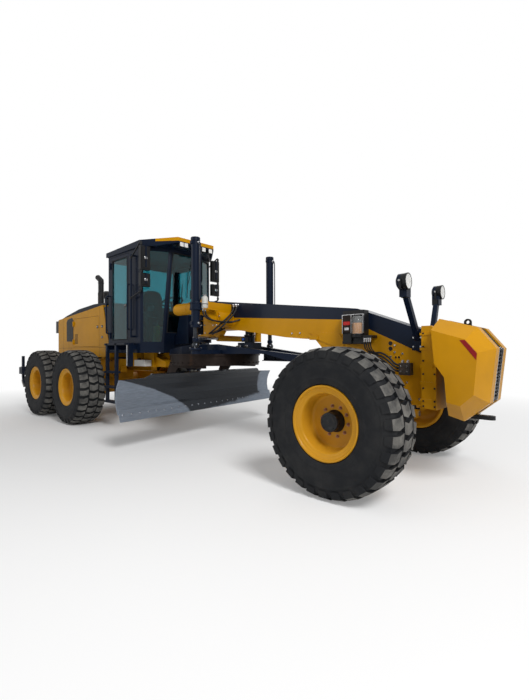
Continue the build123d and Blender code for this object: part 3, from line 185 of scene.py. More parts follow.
def make_floor():
    """Pale floor, white for the camera away from the machine, so that only its shadow shows."""
    r = FLOOR_REACH
    mesh = bpy.data.meshes.new("floor")
    mesh.from_pydata([(-r, -r, 0), (r, -r, 0), (r, r, 0), (-r, r, 0)], [], [(0, 1, 2, 3)])
    floor = add_object("floor", mesh)
    material, tree, shader = new_material("floor", (0.90, 0.90, 0.90), 0.9, specular=0.1)
    away = tree.nodes.new("ShaderNodeVectorMath")
    away.operation = "LENGTH"
    tree.links.new(tree.nodes.new("ShaderNodeTexCoord").outputs["Object"], away.inputs[0])
    far = fade(tree, away.outputs["Value"], SHADOW_NEAR, SHADOW_FAR)
    sight = tree.nodes.new("ShaderNodeLightPath").outputs["Is Camera Ray"]
    blend = tree.nodes.new("ShaderNodeMixShader")
    tree.links.new(calc(tree, "MULTIPLY", far, sight), blend.inputs[0])
    tree.links.new(shader.outputs[0], blend.inputs[1])
    tree.links.new(tree.nodes.new("ShaderNodeEmission").outputs[0], blend.inputs[2])
    tree.links.new(blend.outputs[0], tree.nodes["Material Output"].inputs["Surface"])
    mesh.materials.append(material)


def make_world():
    """White to the camera and through glass, dimmer in reflections and as a light."""
    world = bpy.data.worlds.new("world")
    bpy.context.scene.world = world
    world.use_nodes = True
    tree = world.node_tree
    path = tree.nodes.new("ShaderNodeLightPath").outputs
    mirrored = calc(tree, "MULTIPLY", path["Is Glossy Ray"], 0.35)
    seen = calc(tree, "MAXIMUM", path["Is Camera Ray"], mirrored)
    seen = calc(tree, "MAXIMUM", seen, path["Is Transmission Ray"])
    back = tree.nodes["Background"]
    back.inputs["Color"].default_value = (1, 1, 1, 1)
    tree.links.new(fade(tree, seen, 0.0, 1.0, 0.42, 1.0), back.inputs["Strength"])


def make_light(name, place, size, power):
    """Rectangular lamp that faces the middle of the machine."""
    data = bpy.data.lights.new(name, "AREA")
    data.shape = "RECTANGLE"
    data.size, data.size_y = size
    data.energy = power
    lamp = add_object(name, data)
    lamp.location = place
    lamp.rotation_euler = (Vector((0, 0, 1.2)) - Vector(place)).to_track_quat("-Z", "Y").to_euler()


def make_stage():
    make_floor()
    make_world()
    bpy.context.scene.view_settings.view_transform = "Standard"
    make_light("key", (12, -5, 10), (4, 4), 1300)
    make_light("fill", (-8, -13, 6), (8, 6), 260)
    make_light("back", (-3, 11, 9), (8, 6), 300)


# ---- materials ----
def tandem_middle():
    """X of the tandem pivot, midway between the right rear wheels."""
    boxes = [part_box(f"rim_rear_right_{end}") for end in ("front", "back")]
    return sum(low.x + high.x for low, high in boxes) / 4


PIVOT = tandem_middle()
AMBER_COLOR, NAVY_COLOR = (0.53, 0.245, 0.001), (0.005, 0.010, 0.024)
DUST, RUST = (0.22, 0.20, 0.17), (0.16, 0.075, 0.03)
# (x, z, slope) of the three straight stretches of the front frame's colour line
SPLIT_LINES = [
    (PIVOT + 4.396, 1.984, -0.0727), (PIVOT + 6.446, 1.835, -0.4085), (PIVOT + 6.752, 1.71, -0.4615)]
ROOF_CAP_X, ROOF_CAP_Z = PIVOT + 2.90, 3.405
# painted reflection on the mouldboard: lighter steel colour beyond a curved border on the right and a
# straight one on the left; the blade is also lighter below a line that rises to the left
REFLECTION_RIGHT_Y, REFLECTION_LEFT_Y, BORDER_BEND, BORDER_Z = -0.54, 1.45, 3.2, 0.41
LOW_EDGE_Z, LOW_EDGE_RISE = 0.45, 0.10


def above_split(tree):
    """1 above the line that parts the front frame's dark upper band from its lower one."""
    x, _, z = surface(tree)
    lines = []
    for x0, z0, slope in SPLIT_LINES:
        along = calc(tree, "MULTIPLY", calc(tree, "SUBTRACT", x, x0), slope)
        lines.append(calc(tree, "ADD", along, z0))
    lowest = calc(tree, "MINIMUM", calc(tree, "MINIMUM", lines[0], lines[1]), lines[2])
    return calc(tree, "GREATER_THAN", z, lowest)


def roof_front(tree):
    """1 on the front of the cab's roof."""
    x, _, z = surface(tree)
    high, ahead = calc(tree, "GREATER_THAN", z, ROOF_CAP_Z), calc(tree, "GREATER_THAN", x, ROOF_CAP_X)
    return calc(tree, "MULTIPLY", high, ahead)


def dust_by_height(tree, top):
    """1 at the ground and 0 from the top up, broken up by noise."""
    low = fade(tree, surface(tree)[2], top, 0.0)
    return calc(tree, "MULTIPLY", low, noise(tree, 3.5, 6.0, 0.6))


def paint(name, color, roughness=0.32, dust_top=1.5, dust_share=0.18, coat=0.04, zone=None, zone_color=None):
    """Glossy machine paint with a faint mottle, orange peel and dust that fades upward."""
    material, tree, shader = new_material(name, color, roughness, specular=0.14)
    base = mottle(tree, noise(tree, 2.2, 3.0), color, 0.88, 0.35, 0.65)
    if zone:
        base = mix_color(tree, zone(tree), base, zone_color)
    share = calc(tree, "MULTIPLY", dust_by_height(tree, dust_top), dust_share)
    tree.links.new(mix_color(tree, share, base, DUST), shader.inputs["Base Color"])
    tree.links.new(fade(tree, share, 0.0, 1.0, roughness, 0.8), shader.inputs["Roughness"])
    shader.inputs["Coat Weight"].default_value = coat
    shader.inputs["Coat Roughness"].default_value = 0.08
    bump(tree, shader, noise(tree, 180.0, 2.0), 0.04, 0.002)
    return material


def rubber(name, color, dust=(0.05, 0.048, 0.045), dust_share=0.3):
    material, tree, shader = new_material(name, color, 0.78, specular=0.25)
    dusty = patches(tree, noise(tree, 5.0, 8.0, 0.65), 0.42, 0.72, dust_share)
    tree.links.new(mix_color(tree, dusty, color, dust), shader.inputs["Base Color"])
    bump(tree, shader, noise(tree, 160.0, 3.0), 0.25, 0.003)
    return material


def worn_metal(name, color, roughness=0.38, rust_share=0.35, stretch=(1, 1, 1)):
    """Metal with streaks along one direction and blotches of rust."""
    material, tree, shader = new_material(name, color, roughness, 0.9)
    streaks = noise(tree, 9.0, 6.0, 0.6, stretch)
    rusty = patches(tree, noise(tree, 2.6, 8.0, 0.7), 0.55, 0.75, rust_share)
    bright = mottle(tree, streaks, color, 0.6)
    tree.links.new(mix_color(tree, rusty, bright, RUST), shader.inputs["Base Color"])
    bump(tree, shader, streaks, 0.15, 0.004)
    return material


def blade_steel(name, painted, lighter_steel):
    """Mouldboard: dark glossy paint, with a painted reflection in a lighter steel colour at its two ends, and
    lighter along its low edge.
    """
    material, tree, shader = new_material(name, painted, 0.2, 0.55)
    _, y, z = surface(tree)
    rise = calc(tree, "SUBTRACT", z, BORDER_Z)
    bend = calc(tree, "MULTIPLY", calc(tree, "MULTIPLY", rise, rise), BORDER_BEND)
    # painted reflection: this mask gives the two ends the lighter steel colour, and the strip below the low
    # line too
    worn = calc(tree, "SUBTRACT", calc(tree, "SUBTRACT", REFLECTION_RIGHT_Y, bend), y)
    worn = calc(tree, "MAXIMUM", worn, calc(tree, "SUBTRACT", y, REFLECTION_LEFT_Y))
    low_line = calc(tree, "ADD", calc(tree, "MULTIPLY", y, LOW_EDGE_RISE), LOW_EDGE_Z)
    worn = calc(tree, "MAXIMUM", worn, calc(tree, "SUBTRACT", low_line, z))
    ragged = calc(tree, "ADD", calc(tree, "MULTIPLY", noise(tree, 7.0, 5.0), 0.08), worn)
    share = fade(tree, ragged, 0.02, 0.07)
    streaks = noise(tree, 9.0, 6.0, 0.6, (2, 1, 8))
    bright = mottle(tree, streaks, lighter_steel, 0.7)
    tree.links.new(mix_color(tree, share, painted, bright), shader.inputs["Base Color"])
    tree.links.new(fade(tree, share, 0.0, 1.0, 0.18, 0.42), shader.inputs["Roughness"])
    bump(tree, shader, streaks, 0.06, 0.003)
    return material


def plastic(name, color, roughness=0.5):
    material, tree, shader = new_material(name, color, roughness, specular=0.25)
    tree.links.new(mottle(tree, noise(tree, 4.0, 4.0), color, 0.8), shader.inputs["Base Color"])
    bump(tree, shader, noise(tree, 240.0, 2.0), 0.12, 0.002)
    return material


def glass(name, color, alpha=1.0, passing=0.0):
    """Glass or clear plastic: see-through by alpha, or tinted by passing light."""
    material, tree, shader = new_material(name, color, 0.02, specular=0.15)
    tree.links.new(mottle(tree, noise(tree, 0.8, 1.0), color, 0.85), shader.inputs["Base Color"])
    shader.inputs["Alpha"].default_value = alpha
    shader.inputs["Transmission Weight"].default_value = passing
    return material


def fabric(name, color):
    material, tree, shader = new_material(name, color, 0.9)
    weave = noise(tree, 420.0, 2.0)
    tree.links.new(mottle(tree, weave, color, 0.6, 0.35, 0.65), shader.inputs["Base Color"])
    bump(tree, shader, weave, 0.4, 0.002)
    return material


AMBER = paint("amber_paint", AMBER_COLOR)
NAVY = paint("navy_paint", NAVY_COLOR, 0.26, coat=0.0)
TWO_TONE = paint("two_tone_paint", AMBER_COLOR, zone=above_split, zone_color=NAVY_COLOR)
CAB_PAINT = paint("cab_paint", NAVY_COLOR, 0.26, coat=0.0, zone=roof_front, zone_color=AMBER_COLOR)
NAVY_DUSTY = paint("navy_dusty", (0.008, 0.013, 0.025), 0.4, dust_top=2.6, dust_share=0.22, coat=0.0)
RUBBER = rubber("tyre_rubber", (0.0075, 0.0085, 0.0105))
RIM = paint("rim_paint", (0.56, 0.262, 0.004), 0.34, dust_share=0.12)
BLACK = plastic("black_plastic", (0.009, 0.0095, 0.011), 0.38)
TINTED = glass("tinted_glass", (0.10, 0.40, 0.45), passing=1.0)
CHROME = worn_metal("bright_rod", (0.62, 0.62, 0.63), 0.16, rust_share=0.05)
BLADE = worn_metal("worn_steel", (0.30, 0.33, 0.38), 0.3, rust_share=0.1, stretch=(6, 1, 1))
POLISHED = blade_steel("blade_steel", (0.022, 0.026, 0.032), (0.24, 0.28, 0.34))
IRON = worn_metal("cast_iron", (0.09, 0.085, 0.08), 0.55)
BROWN = worn_metal("brown_steel", (0.030, 0.022, 0.019), 0.45)
SEAT = fabric("seat_fabric", (0.03, 0.03, 0.032))
TREAD = rubber("tread_rubber", (0.055, 0.054, 0.052), (0.22, 0.21, 0.19), 0.85)
HUB = plastic("hub_black", (0.012, 0.013, 0.015), 0.35)
RUSTY = worn_metal("rusty_studs", (0.46, 0.24, 0.15), 0.5, rust_share=0.6)
RUBBER_TRIM = plastic("rubber_trim", (0.010, 0.010, 0.011), 0.7)
HOSE = plastic("hose_rubber", (0.014, 0.014, 0.015), 0.45)
WHITE_PLASTIC = plastic("white_plastic", (0.62, 0.61, 0.57), 0.45)
LENS = plastic("white_lens", (0.80, 0.80, 0.78), 0.2)
RED = plastic("red_lens", (0.45, 0.015, 0.012), 0.25)
ORANGE = plastic("orange_lens", (0.75, 0.20, 0.01), 0.3)
BLUE = plastic("blue_plug", (0.02, 0.08, 0.35), 0.4)
GREASE = plastic("amber_grease", (0.50, 0.20, 0.02), 0.35)
SCREEN = plastic("screen", (0.02, 0.03, 0.04), 0.1)
REFLECTOR = plastic("dark_red_reflector", (0.26, 0.008, 0.010), 0.3)
DARK_ROD = worn_metal("dark_rod", (0.06, 0.065, 0.075), 0.22, rust_share=0.1)
STRIP = paint("centre_strip", (0.045, 0.048, 0.055), 0.4)
TOOTH = worn_metal("tooth_steel", (0.42, 0.40, 0.38), 0.45, rust_share=0.3)
EXHAUST = worn_metal("exhaust_steel", (0.05, 0.05, 0.052), 0.5, rust_share=0.3)
BLADE_EDGE = worn_metal("edge_steel", (0.30, 0.32, 0.36), 0.32, rust_share=0.2, stretch=(6, 1, 1))
MIRROR = worn_metal("mirror_glass", (0.75, 0.76, 0.78), 0.05, rust_share=0.0)
CLEAR = glass("clear_plastic", (0.7, 0.72, 0.72), alpha=0.22)
LENS_GLASS = glass("lamp_glass", (0.8, 0.82, 0.82), alpha=0.25)

NODE_MATERIALS = {
    "amber_paint": AMBER, "navy_paint": NAVY, "black_plastic": BLACK, "tyre": RUBBER, "tinted_glass": TINTED,
    "bright_rod": CHROME, "worn_steel": BLADE, "cast_iron": IRON, "brown_steel": BROWN, "seat_fabric": SEAT}
SPECIAL = {
    "front_frame": TWO_TONE, "cab_frame": CAB_PAINT, "cutting_edge": POLISHED, "nose_grille": BLACK,
    "mouldboard": POLISHED, "lift_rods": DARK_ROD, "circle_drive": NAVY, "hood_roof": NAVY_DUSTY}
# faces of a node that have another finish: (node, material, lowest corner, highest corner), in
# metres from the tandem pivot, and a face belongs where its middle lies between the corners
PATCHES = [
    ("front_frame", BLACK, (6.47, -0.40, 1.50), (6.78, -0.171, 1.95)),
    ("front_frame", AMBER, (7.44, -0.40, 0.70), (7.70, 0.40, 1.80)),
    ("front_frame", IRON, (7.17, -0.40, 1.15), (7.32, -0.171, 1.31)),
    ("rear_chassis", NAVY, (2.58, -0.21, 1.10), (3.70, 0.21, 2.20)),
    ("rear_chassis", NAVY, (-2.40, -0.60, 0.80), (-1.60, 0.60, 1.80))]


def dress_nodes():
    slots = {row["node"]: row["material_slot"] for row in frame["record"]["subparts"]}
    for name, obj in NODES.items():
        obj.data.materials.clear()
        obj.data.materials.append(SPECIAL.get(name) or NODE_MATERIALS[slots[name]])
    for name, material, low, high in PATCHES:
        data = NODES[name].data
        data.materials.append(material)
        for face in data.polygons:
            place = face.center - Vector((PIVOT, 0, 0))
            if all(low[k] <= place[k] <= high[k] for k in range(3)):
                face.material_index = len(data.materials) - 1


# ---- mesh helpers ----
# Points are in millimetres from the tandem pivot, as in the part's own source.
def at(x, y, z):
    return Vector((PIVOT + x / 1000, y / 1000, z / 1000))


def angles(count, start=0.0):
    return [start + 2 * math.pi * i / count for i in range(count)]


def across(axis):
    """Unit vectors along an axis and in two directions square to it."""
    axis = Vector(axis).normalized()
    side = axis.orthogonal().normalized()
    return axis, side, axis.cross(side)


def skin(mesh, rings, material=0, smooth=False):
    """Faces between rings of vertices, each ring with as many as the last."""
    for low, high in zip(rings, rings[1:]):
        for i in range(len(low)):
            j = (i + 1) % len(low)
            face = mesh.faces.new((low[i], low[j], high[j], high[i]))
            face.material_index, face.smooth = material, smooth


def mesh_data(mesh, name, materials):
    bmesh.ops.recalc_face_normals(mesh, faces=mesh.faces)
    data = bpy.data.meshes.new(name)
    mesh.to_mesh(data)
    mesh.free()
    for material in materials:
        data.materials.append(material)
    return data


class Shape:
    """A visual_ piece under construction: each call adds a form with one of its materials."""

    def __init__(self, name, *materials):
        self.name, self.materials, self.mesh = f"visual_{name}", materials, bmesh.new()
        self.on()

    def on(self, side=1, x=0, z=0):
        """What follows counts from x and z, and is mirrored to the right for side -1."""
        self.side, self.x, self.z = side, x, z
        return self

    def at(self, x, y, z):
        return at(self.x + x, self.side * y, self.z + z)

    def faces(self, rings, material=0, smooth=False, caps=True):
        """Skin over rings of points, closed at both ends unless caps is off."""
        rows = [[self.mesh.verts.new(p) for p in ring] for ring in rings]
        skin(self.mesh, rows, material, smooth)
        if caps:
            for ring in (rows[0][::-1], rows[-1]):
                self.mesh.faces.new(ring).material_index = material
        return self

    def block(self, x, y, z, material=0):
        y = y[::self.side]
        corners = [(x[0], y[0]), (x[1], y[0]), (x[1], y[1]), (x[0], y[1])]
        return self.faces([[self.at(px, py, pz) for px, py in corners] for pz in z], material)

    def prism(self, points, plane, span, material=0):
        """Outline in 'xz' or 'xy', extruded over the span of the axis left out."""
        if plane == "xz":
            rings = [[self.at(a, c, b) for a, b in points] for c in span[::self.side]]
        else:
            rings = [[self.at(a, b, c) for a, b in points] for c in span]
        return self.faces(rings, material)

    def lathe(self, start, axis, profile, material=0, count=24, caps=True):
        """Profile of (distance along the axis, radius) turned about an axis from a point."""
        axis, side, other = across((axis[0], self.side * axis[1], axis[2]))
        rings = []
        for along, radius in profile:
            middle = self.at(*start) + axis * along / 1000
            rings.append([middle + (side * math.cos(a) + other * math.sin(a)) * radius / 1000
                          for a in angles(count)])
        return self.faces(rings, material, True, caps)

    def rod(self, start, end, radius, material=0):
        line = Vector(end) - Vector(start)
        return self.lathe(start, line, [(0, radius), (line.length, radius)], material, 16)

    def bolt(self, place, axis, size=14, material=0):
        profile = [(-3, size), (size * 0.9, size), (size * 1.1, size * 0.8)]
        return self.lathe(place, axis, profile, material, 6)

    def bolt_circle(self, centre, axis, radius, count, size, material=0, start=0.0):
        """Bolts evenly round a centre, about an axis along X, Y or Z."""
        first, second = [k for k in range(3) if not axis[k]]
        for a in angles(count, start):
            place = list(centre)
            place[first] += radius * math.cos(a)
            place[second] += radius * math.sin(a)
            self.bolt(place, axis, size, material)

    def ring(self, start, axis, major, minor, material=0, count=48):
        axis, side, other = across((axis[0], self.side * axis[1], axis[2]))
        rings = []
        for a in angles(count) + [2 * math.pi]:
            out = side * math.cos(a) + other * math.sin(a)
            middle = self.at(*start) + out * major / 1000
            rings.append([middle + (out * math.cos(b) + axis * math.sin(b)) * minor / 1000
                          for b in angles(10)])
        return self.faces(rings, material, True, caps=False)

    def done(self, body, bevel=0.0):
        bmesh.ops.remove_doubles(self.mesh, verts=self.mesh.verts, dist=1e-5)
        return put(self.name, mesh_data(self.mesh, self.name, self.materials), body, bevel)


def round_edges(obj, width, angle, harden):
    modifier = obj.modifiers.new("bevel", "BEVEL")
    modifier.width, modifier.segments = width, 2
    modifier.limit_method, modifier.angle_limit = "ANGLE", math.radians(angle)
    modifier.harden_normals = harden


def put(name, data, body, bevel=0.0):
    obj = add_object(name, data)
    if bevel:
        round_edges(obj, bevel, 35, True)
    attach(obj, body)
    return obj


def hose(name, points, radius, material, body, side=1):
    """Smooth hose or bent pipe through the points, mirrored to the right for side -1."""
    name = f"visual_{name}"
    curve = bpy.data.curves.new(name, "CURVE")
    curve.dimensions = "3D"
    curve.bevel_depth = radius / 1000
    curve.bevel_resolution = 3
    spline = curve.splines.new("NURBS")
    spline.points.add(len(points) - 1)
    for point, (x, y, z) in zip(spline.points, points):
        point.co = (*at(x, side * y, z), 1)
    spline.order_u = 3
    spline.use_endpoint_u = True
    curve.use_fill_caps = True
    curve.materials.append(material)
    return put(name, curve, body)


# ---- wheels ----
# Profiles run in (across, radius), with the wheel's outboard side at +Y.
TYRE_R, TYRE_HALF_W, GROOVE_R, LUGS = 740, 262, 706, 30
CROWN_DROP, SHOULDER_Y = 34, 250
SIDEWALL = [(206, 348), (214, 376), (238, 380), (246, 396), (251, 430), (256, 440), (253, 446), (257, 470),
            (261, 510), (262, 545), (260, 580), (256, 600), (259, 606), (256, 612), (250, 645), (232, 690),
            (200, GROOVE_R)]
SHOULDER_LUG = [(262, -52), (176, -58), (100, -34), (100, 72), (176, 50), (262, 50)]
CENTRE_LUG = [(84, -42), (0, -64), (-84, -28), (-84, 78), (0, 42), (84, 66)]
RIM_OUTER = [(213, 346), (214, 366), (220, 371), (228, 371), (235, 366), (235, 354), (230, 346), (221, 344),
             (216, 336), (215, 322), (210, 318), (206, 312), (205, 300), (198, 290), (188, 285), (150, 281),
             (60, 276), (34, 270), (24, 256), (22, 240), (22, 112)]
RIM_INNER = [(-213, 346), (-214, 366), (-228, 371), (-235, 366), (-235, 330), (-6, 326), (-6, 150),
             (-118, 148), (-118, 90)]
FRONT_HUB = [(22, 112), (30, 108), (60, 101), (64, 96), (110, 95), (118, 97), (134, 96), (139, 90), (140, 60),
             (137, 56), (137, 20), (140, 16), (140, 0.5)]
REAR_HUB = [(22, 112), (26, 108), (34, 104), (38, 90), (39, 40), (40, 0.5)]


def wheel_point(y, angle, radius):
    return Vector((radius * math.sin(angle), y, radius * math.cos(angle))) / 1000


def spin(mesh, profile, count, material=0):
    rings = [[mesh.verts.new(wheel_point(y, a, r)) for a in angles(count)] for y, r in profile]
    skin(mesh, rings, material, True)


def add_lug(mesh, outline, way, angle):
    """One lug of the tread; a shoulder lug's outer end leans in and reaches down the sidewall."""
    top, foot = [], []
    for y, along in outline:
        turn = along / TYRE_R
        if way and abs(y) > SHOULDER_Y:
            upper, lower = (y - way * 14, turn, 704), (y - way * 2, turn * 0.94, 632)
        else:
            crown = TYRE_R - (abs(y) / TYRE_HALF_W) ** 4 * CROWN_DROP
            upper, lower = (y, turn, crown), (y, turn * 1.04, 690)
        for ring, (place_y, a, radius) in ((top, upper), (foot, lower)):
            ring.append(mesh.verts.new(wheel_point(place_y, angle + a, radius)))
    mesh.faces.new(top).material_index = 1
    skin(mesh, [foot, top])


def tyre_mesh():
    mesh = bmesh.new()
    spin(mesh, SIDEWALL + [(0, GROOVE_R + 3)] + [(-y, r) for y, r in reversed(SIDEWALL)], 120)
    far_lug = [(-y, along) for y, along in reversed(SHOULDER_LUG)]
    for outline, way, shift in ((SHOULDER_LUG, 1, 0.0), (far_lug, -1, 0.45), (CENTRE_LUG, 0, 0.62)):
        for i in range(LUGS):
            add_lug(mesh, outline, way, (i + shift) * 2 * math.pi / LUGS)
    return mesh_data(mesh, "tyre", (RUBBER, TREAD))


def add_stud(mesh, y0, height, radius, angle, size, material):
    """Nut on a wheel's outer face, on its washer."""
    centre = wheel_point(0, angle, radius)
    rings = []
    for y, r in ((y0 - 2, size * 1.5), (y0 + 3, size * 1.5), (y0 + 3.1, size), (y0 + height * 0.6, size),
                 (y0 + height * 0.62, size * 0.55), (y0 + height, size * 0.5), (y0 + height + 0.1, 0.2)):
        rings.append([mesh.verts.new(centre + Vector((r * math.cos(a), y, r * math.sin(a))) / 1000)
                      for a in angles(6)])
    skin(mesh, rings, material)


def rim_mesh(front):
    """Rim with its disc; a front one has a black hub with rusty studs round it."""
    mesh = bmesh.new()
    for profile in (RIM_OUTER, [(213, 346), (-213, 346)], RIM_INNER):
        spin(mesh, profile, 96)
    if front:
        spin(mesh, FRONT_HUB, 48, 1)
    else:
        spin(mesh, REAR_HUB, 48)
    for a in angles(10, 2 * math.pi * 0.3 / 10):
        add_stud(mesh, 22, 30, 150, a, 14, 2 if front else 0)
    for a in angles(8) if front else ():
        add_stud(mesh, 137, 10, 76, a, 7, 1)
    # stem of the tyre's valve
    add_stud(mesh, 60, 44, 300, 2.6, 9, 3)
    return mesh_data(mesh, "rim", (RIM, HUB, RUSTY, CHROME))


def make_wheels():
    tyre, front_rim, rear_rim = tyre_mesh(), rim_mesh(True), rim_mesh(False)
    for name in ("rear_right_front", "rear_right_back", "rear_left_front", "rear_left_back", "front_right",
                 "front_left"):
        low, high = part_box(f"tyre_{name}")
        rim = front_rim if name.startswith("front") else rear_rim
        for kind, data in (("tyre", tyre), ("rim", rim)):
            obj = add_object(f"visual_{kind}_{name}", data)
            obj.location = (low + high) / 2
            if "right" in name:
                obj.rotation_euler = (0, 0, math.pi)
            if kind == "tyre":
                round_edges(obj, 0.004, 40, False)
            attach(obj, f"wheel_{name}")
            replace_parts(obj, f"{kind}_{name}")


# ---- cab ----
CAB_FLOOR, CAB_Y = 1600, 800
SCREEN_RAKE, SCREEN_HEIGHT, SCREEN_X = 0.544, 1730, 2640
SCREEN_HALF_LOW, SCREEN_HALF_HIGH = 438, 322      # half widths of the front wall at its foot and head
PILLAR = 45                                       # from the wall's edge to the glass

# (name, x, y, foot, head, bend) of the rails on the cab's side
RAILS = (("grab", 2300, 864, 1850, 2690, 8), ("rear", 1470, 858, 1800, 2550, 6))


def make_cab_parts():
    lamps = Shape("roof_lamps", BLACK, LENS)
    for y in (-330, -235, 170, 330):
        lamps.block((3153, 3238), (y - 46, y + 46), (3308, 3396))
        lamps.block((3237, 3242), (y - 39, y + 39), (3315, 3389), 1)
    lamps.done("rear_frame", 0.004)
    trim = Shape("roof_trim", NAVY)
    for side in (-1, 1):
        trim.on(side).prism([(1400, 806), (2640, 812), (2640, 824), (1400, 818)], "xy", (3336, 3366))
    trim.done("rear_frame", 0.006)
    for side, name in SIDES:
        make_door_seal(side, name)
        for kind, x, y, low, high, bend in RAILS:
            path = [(x, 802, low), (x, y - 2, low + bend), (x, y, low + 50), (x, y, high - 50),
                    (x, y - 2, high - bend), (x, 802, high)]
            hose(f"{kind}_rail_{name}", path, 14, NAVY, "rear_frame", side)


def make_door_seal(side, name):
    """Rubber round a door's glass, with the door's handle and lock."""
    seal = Shape(f"door_seal_{name}", RUBBER_TRIM, CHROME, BLACK).on(side)
    x0, x1, z0, z1 = 1606, 2170, 1676, 3218
    tall, y = (z0 - 14, z1 + 14), (797, 804)
    for x, z in (((x0 - 14, x0 + 8), tall), ((x1 - 8, x1 + 14), tall), ((x0, x1), (z0 - 14, z0 + 8)),
                 ((x0, x1), (z1 - 8, z1 + 14))):
        seal.block(x, y, z)
    seal.block((2090, 2190), (800, 812), (2285, 2345), 2)
    seal.rod((2105, 822, 2315), (2178, 822, 2315), 7, 1)
    for x in (2110, 2172):
        seal.rod((x, 806, 2315), (x, 822, 2315), 6, 1)
    seal.done(f"cab_door_{name}", 0.003)


def wall_point(u, v, out):
    """Point on the windscreen: u across, v up from the cab's floor, out ahead of the glass."""
    low, high = [SCREEN_X + SCREEN_RAKE * (CAB_Y - half) for half in (SCREEN_HALF_LOW, SCREEN_HALF_HIGH)]
    return (low + (high - low) * v / SCREEN_HEIGHT + out, u, CAB_FLOOR + v)


def make_screen_parts():
    wiper = Shape("wipers", BLACK)
    for pivot_u, pivot_v, tip_u, tip_v in ((-150, 150, -70, 860), (200, 1640, 60, 1120)):
        wiper.rod(wall_point(pivot_u, pivot_v, -20), wall_point(pivot_u, pivot_v, 34), 20)
        wiper.rod(wall_point(pivot_u, pivot_v, 26), wall_point(tip_u, tip_v, 14), 7)
        wiper.rod(wall_point(tip_u - 8, tip_v - 250, 4), wall_point(tip_u + 8, tip_v + 250, 4), 8)
    wiper.done("rear_frame", 0.002)
    seal = Shape("screen_seals", RUBBER_TRIM)
    low, high = SCREEN_HALF_LOW - PILLAR, SCREEN_HALF_HIGH - PILLAR
    for side in (-1, 1):
        rings = []
        for u, v in ((low - 13, 184), (high + 4, 1676)):
            section = ((u - 10, 2), (u + 12, 2), (u + 12, -16), (u - 10, -16))
            rings.append([at(*wall_point(side * along, v, out)) for along, out in section])
        seal.faces(rings)
    for v, half in ((184, low), (1664, high)):
        section = ((v, 2), (v + 18, 2), (v + 18, -16), (v, -16))
        seal.faces([[at(*wall_point(u, up, out)) for up, out in section] for u in (-half, half)])
    seal.done("rear_frame", 0.003)


def make_pad(name, outline, plane, span):
    pad = Shape(name, SEAT).prism(outline, plane, span).done("rear_frame")
    soften(pad)
    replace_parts(pad, "seat")


def make_seat():
    floor = CAB_FLOOR
    make_pad("seat_cushion", [(1770, -235), (2265, -235), (2265, 235), (1770, 235)], "xy",
             (floor + 335, floor + 465))
    back = [(1750, floor + 470), (1845, floor + 478), (1775, floor + 1112), (1690, floor + 1106)]
    make_pad("seat_back", back, "xz", (-222, 222))
    base = Shape("seat_base", BLACK, IRON).on(z=floor)
    base.block((1830, 2060), (-150, 150), (0, 70))
    base.block((1800, 2090), (-170, 170), (280, 332))
    for i in range(6):
        z, half = 72 + i * 34, 130 - 3 * (i % 2)
        base.block((1845, 2045), (-half, half), (z, z + 28))
    for side in (-1, 1):
        base.on(side, z=floor).rod((1850, 262, 620), (2130, 262, 630), 26)
        base.rod((1850, 262, 460), (1850, 262, 620), 14, 1)
    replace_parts(base.done("rear_frame", 0.004), "seat")


def make_controls():
    """Steering wheel, levers and screen, seen through the glass."""
    inside = Shape("controls", BLACK, ORANGE, CHROME, SCREEN)
    for side in (-1, 1):
        for x in range(2160, 2400, 62):
            inside.on(side, z=CAB_FLOOR).rod((x, 350, 615), (x + 14, 350, 730), 7, 2)
            knob = [(0, 9), (8, 18), (34, 20), (46, 12)]
            inside.lathe((x + 14, 350, 725), (0.1, 0, 1), knob, 0, 14)
    inside.ring((2462, 0, 822), (-0.35, 0, 1), 205, 16)
    for a in (0.3, 2.4, 4.5):
        x, y = 190 * math.cos(a), 190 * math.sin(a)
        inside.rod((2462, 0, 815), (2462 + 0.94 * x, y, 815 + 0.33 * x), 11)
    inside.lathe((2474, 0, 790), (-0.35, 0, 1), [(0, 55), (30, 52), (38, 30)])
    inside.block((2520, 2560), (-190, 190), (520, 600))
    inside.block((2590, 2620), (330, 560), (900, 1080))
    inside.block((2586, 2591), (345, 545), (915, 1065), 3)
    inside.rod((2605, 445, 500), (2605, 445, 900), 14)
    inside.block((2460, 2560), (-420, -330), (20, 330), 1)
    for y in (-230, 130, 240):
        inside.block((2500, 2570), (y, y + 80), (60, 160))
    inside.done("rear_frame", 0.005)


def soften(obj):
    """Pad with a crowned top, pulled-in sides and sewn seams."""
    mesh = bmesh.new()
    mesh.from_mesh(obj.data)
    bmesh.ops.subdivide_edges(mesh, edges=mesh.edges[:], cuts=9, use_grid_fill=True)
    low = Vector([min(v.co[k] for v in mesh.verts) for k in range(3)])
    high = Vector([max(v.co[k] for v in mesh.verts) for k in range(3)])
    middle, half = (low + high) / 2, (high - low) / 2
    for vert in mesh.verts:
        away = vert.co - middle
        u = [abs(away[k]) / max(half[k], 1e-6) for k in range(3)]
        crown = 1 - 0.16 * max(u[0] * u[1], u[1] * u[2]) ** 3
        pull = 1 - 0.04 * (1 - min(1, u[2] ** 2))
        groove = 0.985 if abs(u[1] - 0.55) < 0.06 else 1.0
        vert.co = middle + Vector((away.x * pull, away.y * pull * crown, away.z * crown * groove))
    mesh.to_mesh(obj.data)
    mesh.free()
    for polygon in obj.data.polygons:
        polygon.use_smooth = True
    rounded = obj.modifiers.new("round", "SUBSURF")
    rounded.levels = rounded.render_levels = 1


